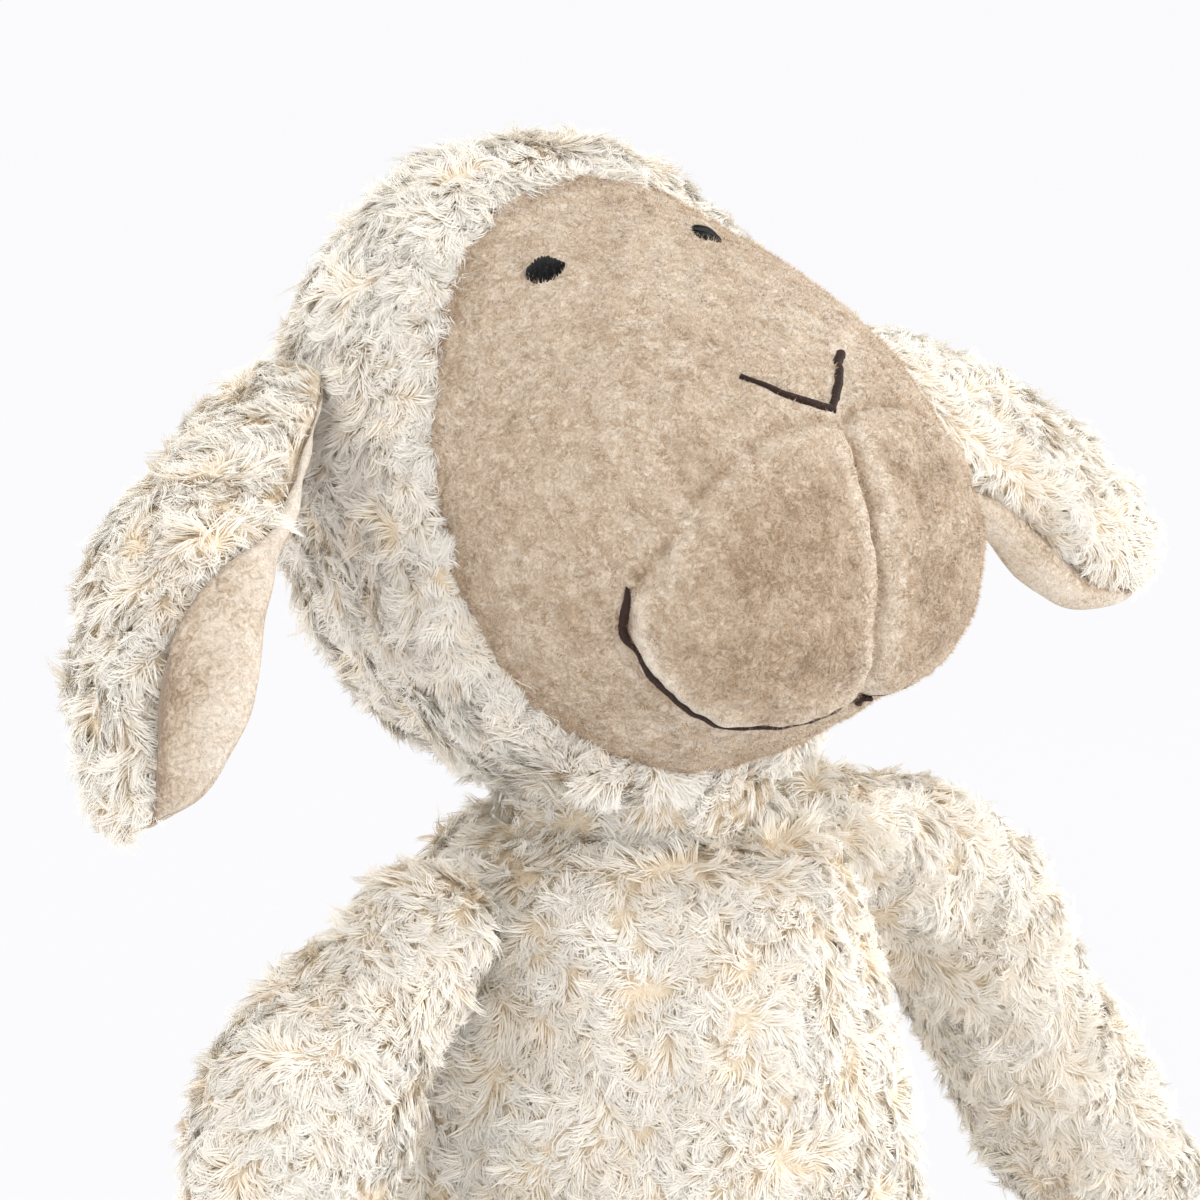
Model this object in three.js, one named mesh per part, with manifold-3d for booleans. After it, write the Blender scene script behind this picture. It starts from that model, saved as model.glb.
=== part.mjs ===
import * as THREE from "three";
import { mergeVertices } from "three/addons/utils/BufferGeometryUtils.js";
import Module from "manifold-3d";

const wasm = await Module();
wasm.setup();

// A plush sheep that sits on the floor. Millimetres and degrees, +Z up. It faces -Y and its
// left side is +X. Places are given as (left, forward, up) from the floor under the middle of
// the muzzle's swell, and the finished toy is then moved so that its seat is at the origin.

// Clearances
const seamGap = 0.3;
const jointGap = 0.7;
const seatFlat = 0.5;
const cutOverrun = 60;

// Fur, felt and lining
const furDepth = 5;
const coverDepth = 4.5;
const seamGrooveWidth = 2.4;
const seamGrooveDepth = 1.2;

// Head, measured over the cloth under the fur
const headLength = 134;
const headHeight = 119;
const headWidth = 116;
const muzzleReach = 60;
const muzzleUp = 227;
const headTilt = 3;
const headStationShares = [
  { top: 0.042, bottom: 0.042, width: 0 },
  { top: 0.32, bottom: -0.151, width: 0.466 },
  { top: 0.5, bottom: -0.319, width: 0.759 },
  { top: 0.58, bottom: -0.412, width: 0.931 },
  { top: 0.515, bottom: -0.437, width: 1 },
  { top: 0.42, bottom: -0.403, width: 0.983 },
  { top: 0.312, bottom: -0.319, width: 0.8 },
  { top: 0.182, bottom: -0.193, width: 0.51 },
  { top: 0, bottom: 0, width: 0 },
];
const headRoundShare = 0.95;
const furLineForward = 3.5;
const furLineUp = 10;
const furLineLean = 22.5;

// Muzzle
const puffSide = 22;
const puffForward = 52;
const puffUp = -8;
const puffRadius = 20;
const puffRise = 3;

// Face embroidery
const rightEyeSide = 24;
const leftEyeSide = 16;
const eyeForward = 1;
const eyeLong = 7;
const eyeTall = 5.4;
const eyeRise = 1.4;
const threadRadius = 1.1;
const noseHalfWidth = 14.5;
const noseUp = 28;
const noseRise = 7.5;
const mouthHalfWidth = 47;
const mouthCornerUp = -0.5;
const mouthLowUp = -29;
const mouthMiddleUp = -26.6;
const mouthShares = [
  { out: 1, down: 0, rise: 0 },
  { out: 0.93, down: 0.55, rise: 0 },
  { out: 0.718, down: 0.88, rise: 0 },
  { out: 0.532, down: 1, rise: 0 },
  { out: 0.266, down: 1, rise: 0.25 },
  { out: 0, down: 1, rise: 1 },
];

// Neck
const neckUp = 174;
const neckForward = -3;
const neckRadius = 28;

// Torso, measured over the fur
const torsoHeight = 171;
const torsoWidth = 126;
const torsoDepth = 126;
const torsoForward = -3;
const torsoStationShares = [0, 0.75, 0.95, 1, 0.96, 0.865, 0.76, 0.57, 0];
const pelletBagWidth = 66;
const pelletBagHeight = 26;
const pelletBagUp = 16;

// Ears
const earWidth = 50;
const earThickness = 18;
const earRootWidth = 24;
const earRootThickness = 9;
const earRootAlongShare = 0.36;
const earRootAngle = 18;
const rightEarProud = 7;
const leftEarProud = 8.1;
const rightEarReach = { left: 75, forward: 48.5, up: -62 };
const leftEarReach = { left: 80, forward: 54, up: -72.4 };
const earArchAlongShare = 0.6;
const rightEarArch = 14;
const leftEarArch = 9;
const earRootRoll = 8;
const rightEarRoll = 6;
const leftEarRoll = 75;
const earCurl = 32;
const earLiningShare = 0.12;
const earSwellShare = 0.7;
const earSeamReachShare = 0.7;

// Arms
const armRadius = 21;
const armRootRadius = 14.5;
const armRoot = { left: 58, forward: -4, up: 153 };
const armElbow = { left: 92, forward: -2, up: 121 };
const armWrist = { left: 106, forward: 6, up: 76 };
const armEnd = { left: 122, forward: 34, up: 12 };
const rightArmLift = 0;
const leftArmLift = 11;
const armHoofLength = 24;
const armRadiusShares = [0.84, 0.97, 1, 0.97, 0.95, 0.95, 0.92, 0.84];

// Legs
const legRadius = 25;
const legRootRadius = 17;
const legRoot = { left: 33, forward: 56, up: 24.5 };
const legLength = 146;
const legSplay = 14;
const legHoofLength = 30;
const legRadiusShares = [0.84, 0.97, 1, 0.96, 0.94, 0.97, 0.95, 0.86];

// Tail
const tailRadius = 13;
const tailRootRadius = 9;
const tailRoot = { forward: -71.6, up: 52 };
const tailLength = 36;
const tailDroop = 40;
const tailRadiusShares = [0.9, 1, 1, 0.94, 0.84];

// How finely each form is cut into facets
const headRings = 24;
const headSides = 28;
const headCoreRings = 10;
const headCoreSides = 16;
const torsoRings = 16;
const torsoSides = 24;
const torsoCoreRings = 8;
const torsoCoreSides = 16;
const limbRings = 12;
const limbSides = 16;
const earRings = 12;
const earSides = 14;
const earSeamSides = 12;
const coreRings = 7;
const coreSides = 10;
const ballRings = 12;
const ballSides = 20;
const threadSides = 6;
const mouthSteps = 22;
const grooveSteps = 10;
const noseSteps = 4;

// Colours and finishes
const cream = 0xf3e8d2;
const fleece = 0xc9b396;
const darkThread = 0x3d2a22;
const black = 0x18181a;
const white = 0xf4f2ec;
const linen = 0xd9cdb4;

function cloth(color) {
  return new THREE.MeshStandardMaterial({ color, roughness: 0.95, metalness: 0 });
}

function radians(degrees) {
  return THREE.MathUtils.degToRad(degrees);
}

// A place in the toy, from how far it lies to the left, forward and up.
function place(left, forward, up) {
  return new THREE.Vector3(left, -forward, up);
}

function placeOf(spot, side) {
  return place(spot.left * side, spot.forward, spot.up);
}

// Solids and booleans
function solidOf(geometry) {
  const bare = geometry.clone();
  bare.deleteAttribute("normal");
  bare.deleteAttribute("uv");
  const merged = mergeVertices(bare);
  return new wasm.Manifold(
    new wasm.Mesh({
      numProp: 3,
      vertProperties: merged.attributes.position.array,
      triVerts: new Uint32Array(merged.index.array),
    }),
  );
}

function geometryOf(solid) {
  const mesh = solid.getMesh();
  const geometry = new THREE.BufferGeometry();
  geometry.setAttribute("position", new THREE.BufferAttribute(mesh.vertProperties, 3));
  geometry.setIndex(new THREE.BufferAttribute(mesh.triVerts, 1));
  geometry.computeVertexNormals();
  return geometry;
}

function nodeMesh(name, solid, material) {
  const mesh = new THREE.Mesh(geometryOf(solid), material);
  mesh.name = name;
  return mesh;
}

// A closed skin of rings between two poles. pointAt takes the share of the way from one pole
// to the other and the angle round the skin.
function skin(rings, sides, pointAt) {
  const points = [pointAt(0, 0)];
  for (let ring = 1; ring < rings; ring++) {
    for (let side = 0; side < sides; side++) {
      points.push(pointAt(ring / rings, (2 * Math.PI * side) / sides));
    }
  }
  points.push(pointAt(1, 0));
  const last = points.length - 1;
  const index = [];
  for (let side = 0; side < sides; side++) {
    const next = (side + 1) % sides;
    index.push(0, 1 + next, 1 + side);
    index.push(last, last - sides + side, last - sides + next);
    for (let ring = 0; ring < rings - 2; ring++) {
      const a = 1 + ring * sides;
      const b = a + sides;
      index.push(a + side, a + next, b + next);
      index.push(a + side, b + next, b + side);
    }
  }
  const geometry = new THREE.BufferGeometry().setFromPoints(points);
  geometry.setIndex(index);
  return solidOf(geometry);
}

function ball(centre, radius, rings, sides) {
  const geometry = new THREE.SphereGeometry(radius, sides, rings);
  geometry.translate(centre.x, centre.y, centre.z);
  return solidOf(geometry);
}

function ellipsoid(centre, size, turn) {
  const geometry = new THREE.SphereGeometry(1, limbSides, coreRings);
  geometry.scale(size.x, size.y, size.z);
  geometry.applyQuaternion(turn);
  geometry.translate(centre.x, centre.y, centre.z);
  return solidOf(geometry);
}

// Everything on the far side of a plane, as a slab that is larger than the toy.
function slab(point, normal) {
  const reach = 2 * (headLength + headHeight + cutOverrun);
  const geometry = new THREE.BoxGeometry(reach, reach, reach);
  geometry.translate(0, 0, reach / 2);
  const turn = new THREE.Quaternion().setFromUnitVectors(new THREE.Vector3(0, 0, 1), normal);
  geometry.applyQuaternion(turn);
  geometry.translate(point.x, point.y, point.z);
  return solidOf(geometry);
}

// A value read from a list of shares by a smooth curve through them.
function smoothShare(shares, along) {
  const curve = new THREE.SplineCurve(
    shares.map((share, i) => new THREE.Vector2(i / (shares.length - 1), share)),
  );
  return curve.getPoint(along).y;
}

// Head. The share runs from the back of the head to the front of the muzzle, and the angle
// runs round from the left side over the crown.
const headTop = headStationShares.map((station) => station.top);
const headBottom = headStationShares.map((station) => station.bottom);
const headSide = headStationShares.map((station) => station.width);

function headForward(along, grow) {
  const middle = muzzleReach - headLength / 2;
  return middle - (headLength / 2 + grow) * Math.cos(Math.PI * along);
}

function headPoint(along, angle, grow, puffed) {
  const swell = grow * Math.sin(Math.PI * along);
  const top = smoothShare(headTop, along) * headHeight + swell;
  const bottom = smoothShare(headBottom, along) * headHeight - swell;
  const half = (smoothShare(headSide, along) * headWidth) / 2 + swell;
  const out = Math.cos(angle);
  const rise = Math.sign(Math.sin(angle)) * Math.abs(Math.sin(angle)) ** headRoundShare;
  const point = new THREE.Vector3(
    half * Math.sign(out) * Math.abs(out) ** headRoundShare,
    -headForward(along, grow),
    (top + bottom) / 2 + (rise * (top - bottom)) / 2,
  );
  if (puffed) {
    for (const side of [-1, 1]) {
      const centre = place(side * puffSide, puffForward, puffUp);
      const share = point.distanceTo(centre) / puffRadius;
      const out = centre.clone().normalize();
      point.addScaledVector(out, puffRise * Math.exp(-share * share));
    }
  }
  return point;
}

function headForm(grow, rings, sides, puffed) {
  return skin(rings, sides, (along, angle) => headPoint(along, angle, grow, puffed));
}

// The point of the face that lies a given way to the side and up, seen from the front.
function facePoint(side, up, proud) {
  const from = place(side, muzzleReach + cutOverrun, up);
  const toward = new THREE.Vector3(0, 1, 0);
  const hit = new THREE.Raycaster(from, toward).intersectObject(faceTarget)[0];
  return hit.point.addScaledVector(hit.face.normal, proud);
}

// The point of the face that lies a given way to the side and forward, seen from above.
function browPoint(side, forward) {
  const from = place(side, forward, headHeight + cutOverrun);
  const toward = new THREE.Vector3(0, 0, -1);
  const hit = new THREE.Raycaster(from, toward).intersectObject(faceTarget)[0];
  return { point: hit.point, normal: hit.face.normal };
}

// A round thread along a row of points.
function thread(points, radius) {
  const outline = new THREE.Shape().absarc(0, 0, radius, 0, 2 * Math.PI);
  return solidOf(
    new THREE.ExtrudeGeometry(outline, {
      steps: points.length - 1,
      extrudePath: new THREE.CatmullRomCurve3(points),
      curveSegments: threadSides,
    }),
  );
}

const headPlain = headForm(0, headRings, headSides, true);
const headProud = headForm(seamGap, headRings, headSides, true);
const headHollow = headForm(-coverDepth, headCoreRings, headCoreSides, false);
const headCore = headForm(-coverDepth - seamGap, headCoreRings, headCoreSides, false);
const faceTarget = new THREE.Mesh(
  geometryOf(headPlain),
  new THREE.MeshBasicMaterial({ side: THREE.DoubleSide }),
);
const headCentre = place(0, 0, muzzleUp);
const tilt = new THREE.Quaternion().setFromAxisAngle(
  new THREE.Vector3(0, 1, 0),
  radians(-headTilt),
);
const headSeat = new THREE.Matrix4().compose(headCentre, tilt, new THREE.Vector3(1, 1, 1));

// Solids of the head are built round the middle of the muzzle and then seated on the toy.
function seatHead(solid) {
  return solid.transform(headSeat.elements);
}

// The fur ends at a line sewn round the face, which leans back over the forehead.
const furLineNormal = place(0, Math.cos(radians(furLineLean)), Math.sin(radians(furLineLean)));

function beyondFurLine(gap) {
  const point = place(0, furLineForward, furLineUp).addScaledVector(furLineNormal, gap);
  return slab(point, furLineNormal);
}

const neckCentre = place(0, neckForward, neckUp);
const neckSocket = ball(neckCentre, neckRadius + jointGap, ballRings, ballSides);

// A tapering limb along a spine. Its sections are ovals, given as shares of the two radii,
// and its far end is round.
function limbSkin(spine, sections, rings, sides) {
  const length = spine.getLength();
  return skin(rings, sides, (along, angle) => {
    const beyondRoot = Math.max(0, along * rings - 1) / (rings - 1);
    const travel = Math.sin((Math.PI / 2) * beyondRoot);
    const { across, flat, roundRun } = sections(travel);
    const inward = Math.max(0, 1 - ((1 - travel) * length) / roundRun);
    const rounding = along === 0 ? 0 : Math.sqrt(Math.max(0, 1 - inward * inward));
    const axes = spineAxes(spine, travel, sections.rollAt ? sections.rollAt(travel) : 0);
    const spot = {
      across: across * rounding * Math.cos(angle),
      flat: flat * rounding * Math.sin(angle),
    };
    return onSection(spine, travel, axes, sections.curl ? curled(spot, sections.curl) : spot);
  });
}

function onSection(spine, travel, axes, spot) {
  return spine
    .getPointAt(travel)
    .addScaledVector(axes.across, spot.across)
    .addScaledVector(axes.flat, spot.flat);
}

// A spot of a flat section, once the section is rolled into an arc. The curl is the turn in
// radians for each millimetre across.
function curled(spot, curl) {
  const turn = spot.across * curl;
  return {
    across: Math.sin(turn) / curl - spot.flat * Math.sin(turn),
    flat: (1 - Math.cos(turn)) / curl + spot.flat * Math.cos(turn),
  };
}

// The two directions across a spine: one towards the toy's front, turned by the roll.
function spineAxes(spine, travel, roll) {
  const along = spine.getTangentAt(travel);
  const across = place(0, 1, 0);
  across.addScaledVector(along, -across.dot(along)).normalize();
  across.applyAxisAngle(along, radians(roll));
  const flat = along.clone().cross(across);
  return { along, across, flat };
}

function roundSections(shape, grow) {
  const shares = [shape.rootRadius / shape.radius, ...shape.shares];
  return (travel) => {
    const size = smoothShare(shares, travel) * shape.radius + grow;
    return { across: size, flat: size, roundRun: shape.radius + grow };
  };
}

// Head cover, face and stuffing
function buildHeadFur(earKnuckles) {
  let solid = headForm(furDepth, headRings, headSides, false)
    .subtract(beyondFurLine(-seamGap))
    .subtract(headHollow);
  for (const knuckle of earKnuckles) {
    solid = solid.subtract(knuckle);
  }
  return seatHead(solid).subtract(neckSocket);
}

function buildFace() {
  const steps = [];
  for (let i = 0; i <= grooveSteps; i++) {
    const up = THREE.MathUtils.lerp(noseUp - noseRise / 2, mouthMiddleUp, i / grooveSteps);
    steps.push(facePoint(0, up, seamGrooveWidth / 2 - seamGrooveDepth));
  }
  const groove = thread(steps, seamGrooveWidth / 2);
  return seatHead(
    headPlain.intersect(beyondFurLine(0)).subtract(headHollow).subtract(groove),
  ).subtract(neckSocket);
}

// Face embroidery lies on the felt.
function buildEye(side, eyeSide) {
  const { point, normal } = browPoint(side * eyeSide, eyeForward);
  const turn = new THREE.Quaternion().setFromUnitVectors(new THREE.Vector3(0, 0, 1), normal);
  const size = new THREE.Vector3(eyeTall / 2, eyeLong / 2, eyeRise);
  return seatHead(ellipsoid(point, size, turn).subtract(headProud));
}

function stitched(points) {
  return seatHead(thread(points, threadRadius).subtract(headProud));
}

function buildNose() {
  const points = [];
  for (let i = -noseSteps; i <= noseSteps; i++) {
    const share = i / noseSteps;
    const up = noseUp + noseRise * Math.abs(share);
    points.push(facePoint(share * noseHalfWidth, up, threadRadius / 2));
  }
  return stitched(points);
}

// The smile runs down from each corner to its lowest place, and up a little to the middle.
function buildMouth() {
  const half = mouthShares.map(({ out, down, rise }) => ({
    side: mouthHalfWidth * out,
    up: mouthCornerUp + (mouthLowUp - mouthCornerUp) * down + (mouthMiddleUp - mouthLowUp) * rise,
  }));
  const right = half.map(({ side, up }) => new THREE.Vector3(-side, up, 0));
  const left = half.slice(0, -1).map(({ side, up }) => new THREE.Vector3(side, up, 0));
  const points = new THREE.CatmullRomCurve3([...right, ...left.reverse()])
    .getSpacedPoints(mouthSteps)
    .map((spot) => facePoint(spot.x, spot.y, threadRadius / 2));
  return stitched(points);
}

// Ears. Each is a flat pouch of fur outside and felt inside, on a narrow sewn root that it
// hinges on.
function earSpine({ side, earReach, earArch, earProud }) {
  const angle = radians(earRootAngle);
  const start = headPoint(earRootAlongShare, angle, furDepth + earProud, false);
  start.x *= side;
  const tip = start.clone().add(placeOf(earReach, side));
  const middle = start.clone().lerp(tip, earArchAlongShare);
  const along = tip.clone().sub(start).normalize();
  const outward = place(side, 0, 1);
  outward.addScaledVector(along, -outward.dot(along)).normalize();
  return new THREE.CatmullRomCurve3([start, middle.addScaledVector(outward, earArch), tip]);
}

// The ear twists from its sewn root to its tip.
function earRollAt(ear, travel) {
  return THREE.MathUtils.lerp(earRootRoll, ear.earRoll, THREE.MathUtils.smoothstep(travel, 0, 1));
}

function earSections(ear) {
  const sections = (travel) => {
    const swell = Math.sin((Math.PI / 2) * Math.min(1, travel / earSwellShare));
    return {
      across: THREE.MathUtils.lerp(earRootWidth, earWidth, swell) / 2,
      flat: THREE.MathUtils.lerp(earRootThickness, earThickness, swell) / 2,
      roundRun: earWidth / 2,
    };
  };
  sections.rollAt = (travel) => earRollAt(ear, travel);
  sections.curl = earCurlPerWidth(ear);
  return sections;
}

// The ear's long edges curl towards its lining.
function earCurlPerWidth(ear) {
  return (ear.side * radians(earCurl)) / (earWidth / 2);
}

function earKnuckle(ear, grow) {
  const spine = earSpine(ear);
  const axes = spineAxes(spine, 0, earRootRoll);
  const turn = new THREE.Quaternion().setFromRotationMatrix(
    new THREE.Matrix4().makeBasis(axes.flat, axes.across, axes.along.clone().negate()),
  );
  const small = earRootThickness / 2 + grow;
  const size = new THREE.Vector3(small, earRootWidth / 2 + grow, small);
  return ellipsoid(spine.getPointAt(0), size, turn);
}

// What lies on the outer side of the ear's seam, as a bar that follows the ear.
function earOuterSide(ear, gap) {
  const spine = earSpine(ear);
  const seam = (earLiningShare * earThickness) / 2 + gap;
  const outward = -ear.side;
  return skin(earRings, earSeamSides, (along, angle) => {
    const axes = spineAxes(spine, along, earRollAt(ear, along));
    if (along === 0) return spine.getPointAt(0).addScaledVector(axes.along, -earWidth);
    if (along === 1) return spine.getPointAt(1).addScaledVector(axes.along, earWidth);
    const first = angle < Math.PI;
    const share = first ? angle / Math.PI : 2 - angle / Math.PI;
    const spot = {
      across: (1 - share * 2) * earWidth * earSeamReachShare,
      flat: first === outward > 0 ? outward * earWidth : -outward * seam,
    };
    return onSection(spine, along, axes, curled(spot, earCurlPerWidth(ear)));
  });
}

function buildEar(ear) {
  const pouch = limbSkin(earSpine(ear), earSections(ear), earRings, earSides);
  const fur = pouch.intersect(earOuterSide(ear, 0)).add(earKnuckle(ear, 0));
  const lining = pouch
    .subtract(earOuterSide(ear, seamGap))
    .subtract(earKnuckle(ear, seamGap));
  return { fur: seatHead(fur), lining: seatHead(lining) };
}

// A limb's outer form, with the round root that turns in its seat on the torso.
function limbForm(spine, shape) {
  const root = ball(spine.getPointAt(0), shape.rootRadius, coreRings, limbSides);
  return limbSkin(spine, roundSections(shape, 0), limbRings, limbSides).add(root);
}

// Limbs. Each has a fur sleeve round its stuffing and a felt hoof sewn to the far end.
function buildLimb(spine, shape, hoofLength) {
  const pivot = spine.getPointAt(0);
  const cut = 1 - hoofLength / spine.getLength();
  const hoofPoint = spine.getPointAt(cut);
  const hoofNormal = spine.getTangentAt(cut);
  const form = limbForm(spine, shape);
  const inner = (grow) => limbSkin(spine, roundSections(shape, grow), coreRings, coreSides);
  const hoof = form.intersect(slab(hoofPoint, hoofNormal));
  const furEnd = slab(
    hoofPoint.clone().addScaledVector(hoofNormal, -seamGap),
    hoofNormal,
  );
  return {
    hoof,
    fur: form.subtract(furEnd).subtract(inner(-coverDepth)),
    core: inner(-coverDepth - seamGap).subtract(furEnd),
    socket: ball(pivot, shape.rootRadius + jointGap, coreRings, limbSides),
  };
}

// Each arm hangs from its shoulder, lifted sideways by its own angle.
function armSpine(side, lift) {
  const shoulder = placeOf(armRoot, side);
  const spots = [armRoot, armElbow, armWrist, armEnd].map((spot) =>
    placeOf(spot, side)
      .sub(shoulder)
      .applyAxisAngle(new THREE.Vector3(0, 1, 0), radians(-lift) * side)
      .add(shoulder),
  );
  return new THREE.CatmullRomCurve3(spots);
}

function legSpine(side) {
  const start = placeOf(legRoot, side);
  const splay = radians(legSplay);
  const way = place(side * Math.sin(splay), Math.cos(splay), 0);
  return new THREE.LineCurve3(start, start.clone().addScaledVector(way, legLength));
}

function tailSpine() {
  const start = place(0, tailRoot.forward, tailRoot.up);
  const droop = radians(tailDroop);
  const way = place(0, -Math.cos(droop), -Math.sin(droop));
  return new THREE.LineCurve3(start, start.clone().addScaledVector(way, tailLength));
}

function buildTail() {
  const spine = tailSpine();
  const shape = { rootRadius: tailRootRadius, radius: tailRadius, shares: tailRadiusShares };
  return {
    form: limbForm(spine, shape),
    socket: ball(spine.getPointAt(0), tailRootRadius + jointGap, coreRings, limbSides),
  };
}

// Torso. The share runs from the seat to the neck.
function torsoForm(grow, rings, sides) {
  return skin(rings, sides, (along, angle) => {
    const swell = grow * Math.sin(Math.PI * along);
    const share = smoothShare(torsoStationShares, along) / 2;
    const up = torsoHeight / 2 - (torsoHeight / 2 + grow) * Math.cos(Math.PI * along);
    return place(
      (share * torsoWidth + swell) * Math.cos(angle),
      torsoForward - (share * torsoDepth + swell) * Math.sin(angle),
      up - seatFlat,
    );
  });
}

const belowFloor = slab(place(0, 0, 0), new THREE.Vector3(0, 0, -1));

function onFloor(solid) {
  return solid.subtract(belowFloor);
}

function pelletBag(grow) {
  const centre = place(0, torsoForward, pelletBagUp);
  const size = new THREE.Vector3(
    pelletBagWidth / 2 + grow,
    pelletBagWidth / 2 + grow,
    pelletBagHeight / 2 + grow,
  );
  return ellipsoid(centre, size, new THREE.Quaternion());
}

function buildTorso(sockets) {
  const inner = -coverDepth - furDepth;
  const hollow = torsoForm(inner, torsoCoreRings, torsoCoreSides);
  const filling = torsoForm(inner - seamGap, torsoCoreRings, torsoCoreSides);
  let fur = torsoForm(0, torsoRings, torsoSides).subtract(hollow).subtract(neckSocket);
  let core = filling.subtract(neckSocket).subtract(pelletBag(seamGap));
  for (const socket of sockets) {
    fur = fur.subtract(socket);
    core = core.subtract(socket);
  }
  return { fur: onFloor(fur), core, pellets: filling.intersect(pelletBag(0)) };
}

// Assembly
const toy = new THREE.Group();
const torsoGroup = new THREE.Group();
const headGroup = new THREE.Group();
toy.add(torsoGroup, headGroup);

const sides = [
  {
    name: "right",
    side: -1,
    eyeSide: rightEyeSide,
    earRoll: rightEarRoll,
    earReach: rightEarReach,
    earArch: rightEarArch,
    earProud: rightEarProud,
    armLift: rightArmLift,
  },
  {
    name: "left",
    side: 1,
    eyeSide: leftEyeSide,
    earRoll: leftEarRoll,
    earReach: leftEarReach,
    earArch: leftEarArch,
    earProud: leftEarProud,
    armLift: leftArmLift,
  },
];
const knuckleSockets = sides.map((half) => earKnuckle(half, jointGap));
headGroup.add(
  nodeMesh("head_fur", buildHeadFur(knuckleSockets), cloth(cream)),
  nodeMesh("face_felt", buildFace(), cloth(fleece)),
  nodeMesh("head_stuffing", seatHead(headCore).subtract(neckSocket), cloth(white)),
  nodeMesh("nose_stitching", buildNose(), cloth(darkThread)),
  nodeMesh("mouth_stitching", buildMouth(), cloth(darkThread)),
);

const tail = buildTail();
const sockets = [tail.socket];
torsoGroup.add(nodeMesh("tail", tail.form, cloth(cream)));

const armShape = { rootRadius: armRootRadius, radius: armRadius, shares: armRadiusShares };
const legShape = { rootRadius: legRootRadius, radius: legRadius, shares: legRadiusShares };
for (const half of sides) {
  const { name: sideName, side } = half;
  const ear = buildEar(half);
  const arm = buildLimb(armSpine(side, half.armLift), armShape, armHoofLength);
  const leg = buildLimb(legSpine(side), legShape, legHoofLength);
  headGroup.add(
    nodeMesh(sideName + "_eye", buildEye(side, half.eyeSide), cloth(black)),
    nodeMesh(sideName + "_ear_fur", ear.fur, cloth(cream)),
    nodeMesh(sideName + "_ear_lining", ear.lining, cloth(fleece)),
  );
  torsoGroup.add(
    nodeMesh(sideName + "_arm_fur", arm.fur, cloth(cream)),
    nodeMesh(sideName + "_arm_stuffing", arm.core, cloth(white)),
    nodeMesh(sideName + "_front_hoof", arm.hoof, cloth(fleece)),
    nodeMesh(sideName + "_leg_fur", onFloor(leg.fur), cloth(cream)),
    nodeMesh(sideName + "_leg_stuffing", leg.core, cloth(white)),
    nodeMesh(sideName + "_hind_hoof", onFloor(leg.hoof), cloth(fleece)),
  );
  sockets.push(arm.socket, leg.socket);
}

const torso = buildTorso(sockets);
torsoGroup.add(
  nodeMesh("torso_fur", torso.fur, cloth(cream)),
  nodeMesh("torso_stuffing", torso.core, cloth(white)),
  nodeMesh("pellet_bag", torso.pellets, cloth(linen)),
  nodeMesh("neck_knob", ball(neckCentre, neckRadius, ballRings, ballSides), cloth(white)),
);

// The origin is the middle of the flat under the seat.
toy.position.copy(place(0, -torsoForward, 0));

export default toy;
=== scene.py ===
import bpy
import numpy as np
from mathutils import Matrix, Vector
from mathutils.kdtree import KDTree


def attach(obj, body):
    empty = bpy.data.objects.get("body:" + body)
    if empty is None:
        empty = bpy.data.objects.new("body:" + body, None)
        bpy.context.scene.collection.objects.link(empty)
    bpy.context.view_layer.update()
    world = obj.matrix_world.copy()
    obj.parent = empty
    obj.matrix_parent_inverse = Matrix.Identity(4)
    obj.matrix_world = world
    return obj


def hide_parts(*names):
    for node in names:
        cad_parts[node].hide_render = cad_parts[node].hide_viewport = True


# A plush sheep: teased fleece over stuffed cloth, a felt face with stitched features.
# Lengths here are millimetres in the row frame and become metres when a mesh is made.
# The sheep faces -Y and its left side is +X.

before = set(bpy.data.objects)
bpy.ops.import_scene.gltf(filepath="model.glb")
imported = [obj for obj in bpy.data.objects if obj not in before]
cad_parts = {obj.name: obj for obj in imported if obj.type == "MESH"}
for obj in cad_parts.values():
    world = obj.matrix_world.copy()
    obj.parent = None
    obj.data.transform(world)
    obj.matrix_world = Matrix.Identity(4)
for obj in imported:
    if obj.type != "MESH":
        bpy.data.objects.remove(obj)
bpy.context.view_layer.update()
rng = np.random.default_rng(2811)
turn = 2 * np.pi


def put(name, data, place, way):
    """Places a camera or a lamp, looking that way."""
    obj = bpy.data.objects.new(name, data)
    bpy.context.scene.collection.objects.link(obj)
    obj.location = Vector(place)
    obj.rotation_euler = Vector(way).to_track_quat("-Z", "Y").to_euler()
    return obj


# The camera comes first: seen from the front right, a little above.
view_turn = np.radians(45)
view_rise = np.radians(12)
camera_distance = 850
head_place = np.array([0.0, -3.0, 227.0])
level = np.cos(view_rise)
back = np.array([-np.sin(view_turn) * level, -np.cos(view_turn) * level, np.sin(view_rise)])
aside = np.array([np.cos(view_turn), -np.sin(view_turn), 0.0])
above = np.cross(back, aside)
# The middle of the picture lies left of the head's own middle, and below it.
aim = head_place - 9.3 * aside - 16.4 * above
camera_data = bpy.data.cameras.new("camera")
camera_data.lens = 127.66
camera_data.sensor_width = 36
camera_data.clip_start = 0.05
camera_place = (aim + camera_distance * back) / 1000
bpy.context.scene.camera = put("camera", camera_data, camera_place, -back)


# Forms, as the CAD model has them
def smooth(shares, along):
    """A value read from evenly spaced shares by a smooth curve."""
    s = np.asarray(shares, float)
    last = len(s) - 1
    place = clamp(along) * last
    i = np.minimum(np.floor(place).astype(int), last - 1)
    w = place - i
    p0 = s[np.maximum(i - 1, 0)]
    p1 = s[i]
    p2 = s[i + 1]
    p3 = s[np.minimum(i + 2, last)]
    v0 = (p2 - p0) / 2
    v1 = (p3 - p1) / 2
    return ((2 * p1 - 2 * p2 + v0 + v1) * w + (-3 * p1 + 3 * p2 - 2 * v0 - v1)) * w * w + v0 * w + p1


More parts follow.
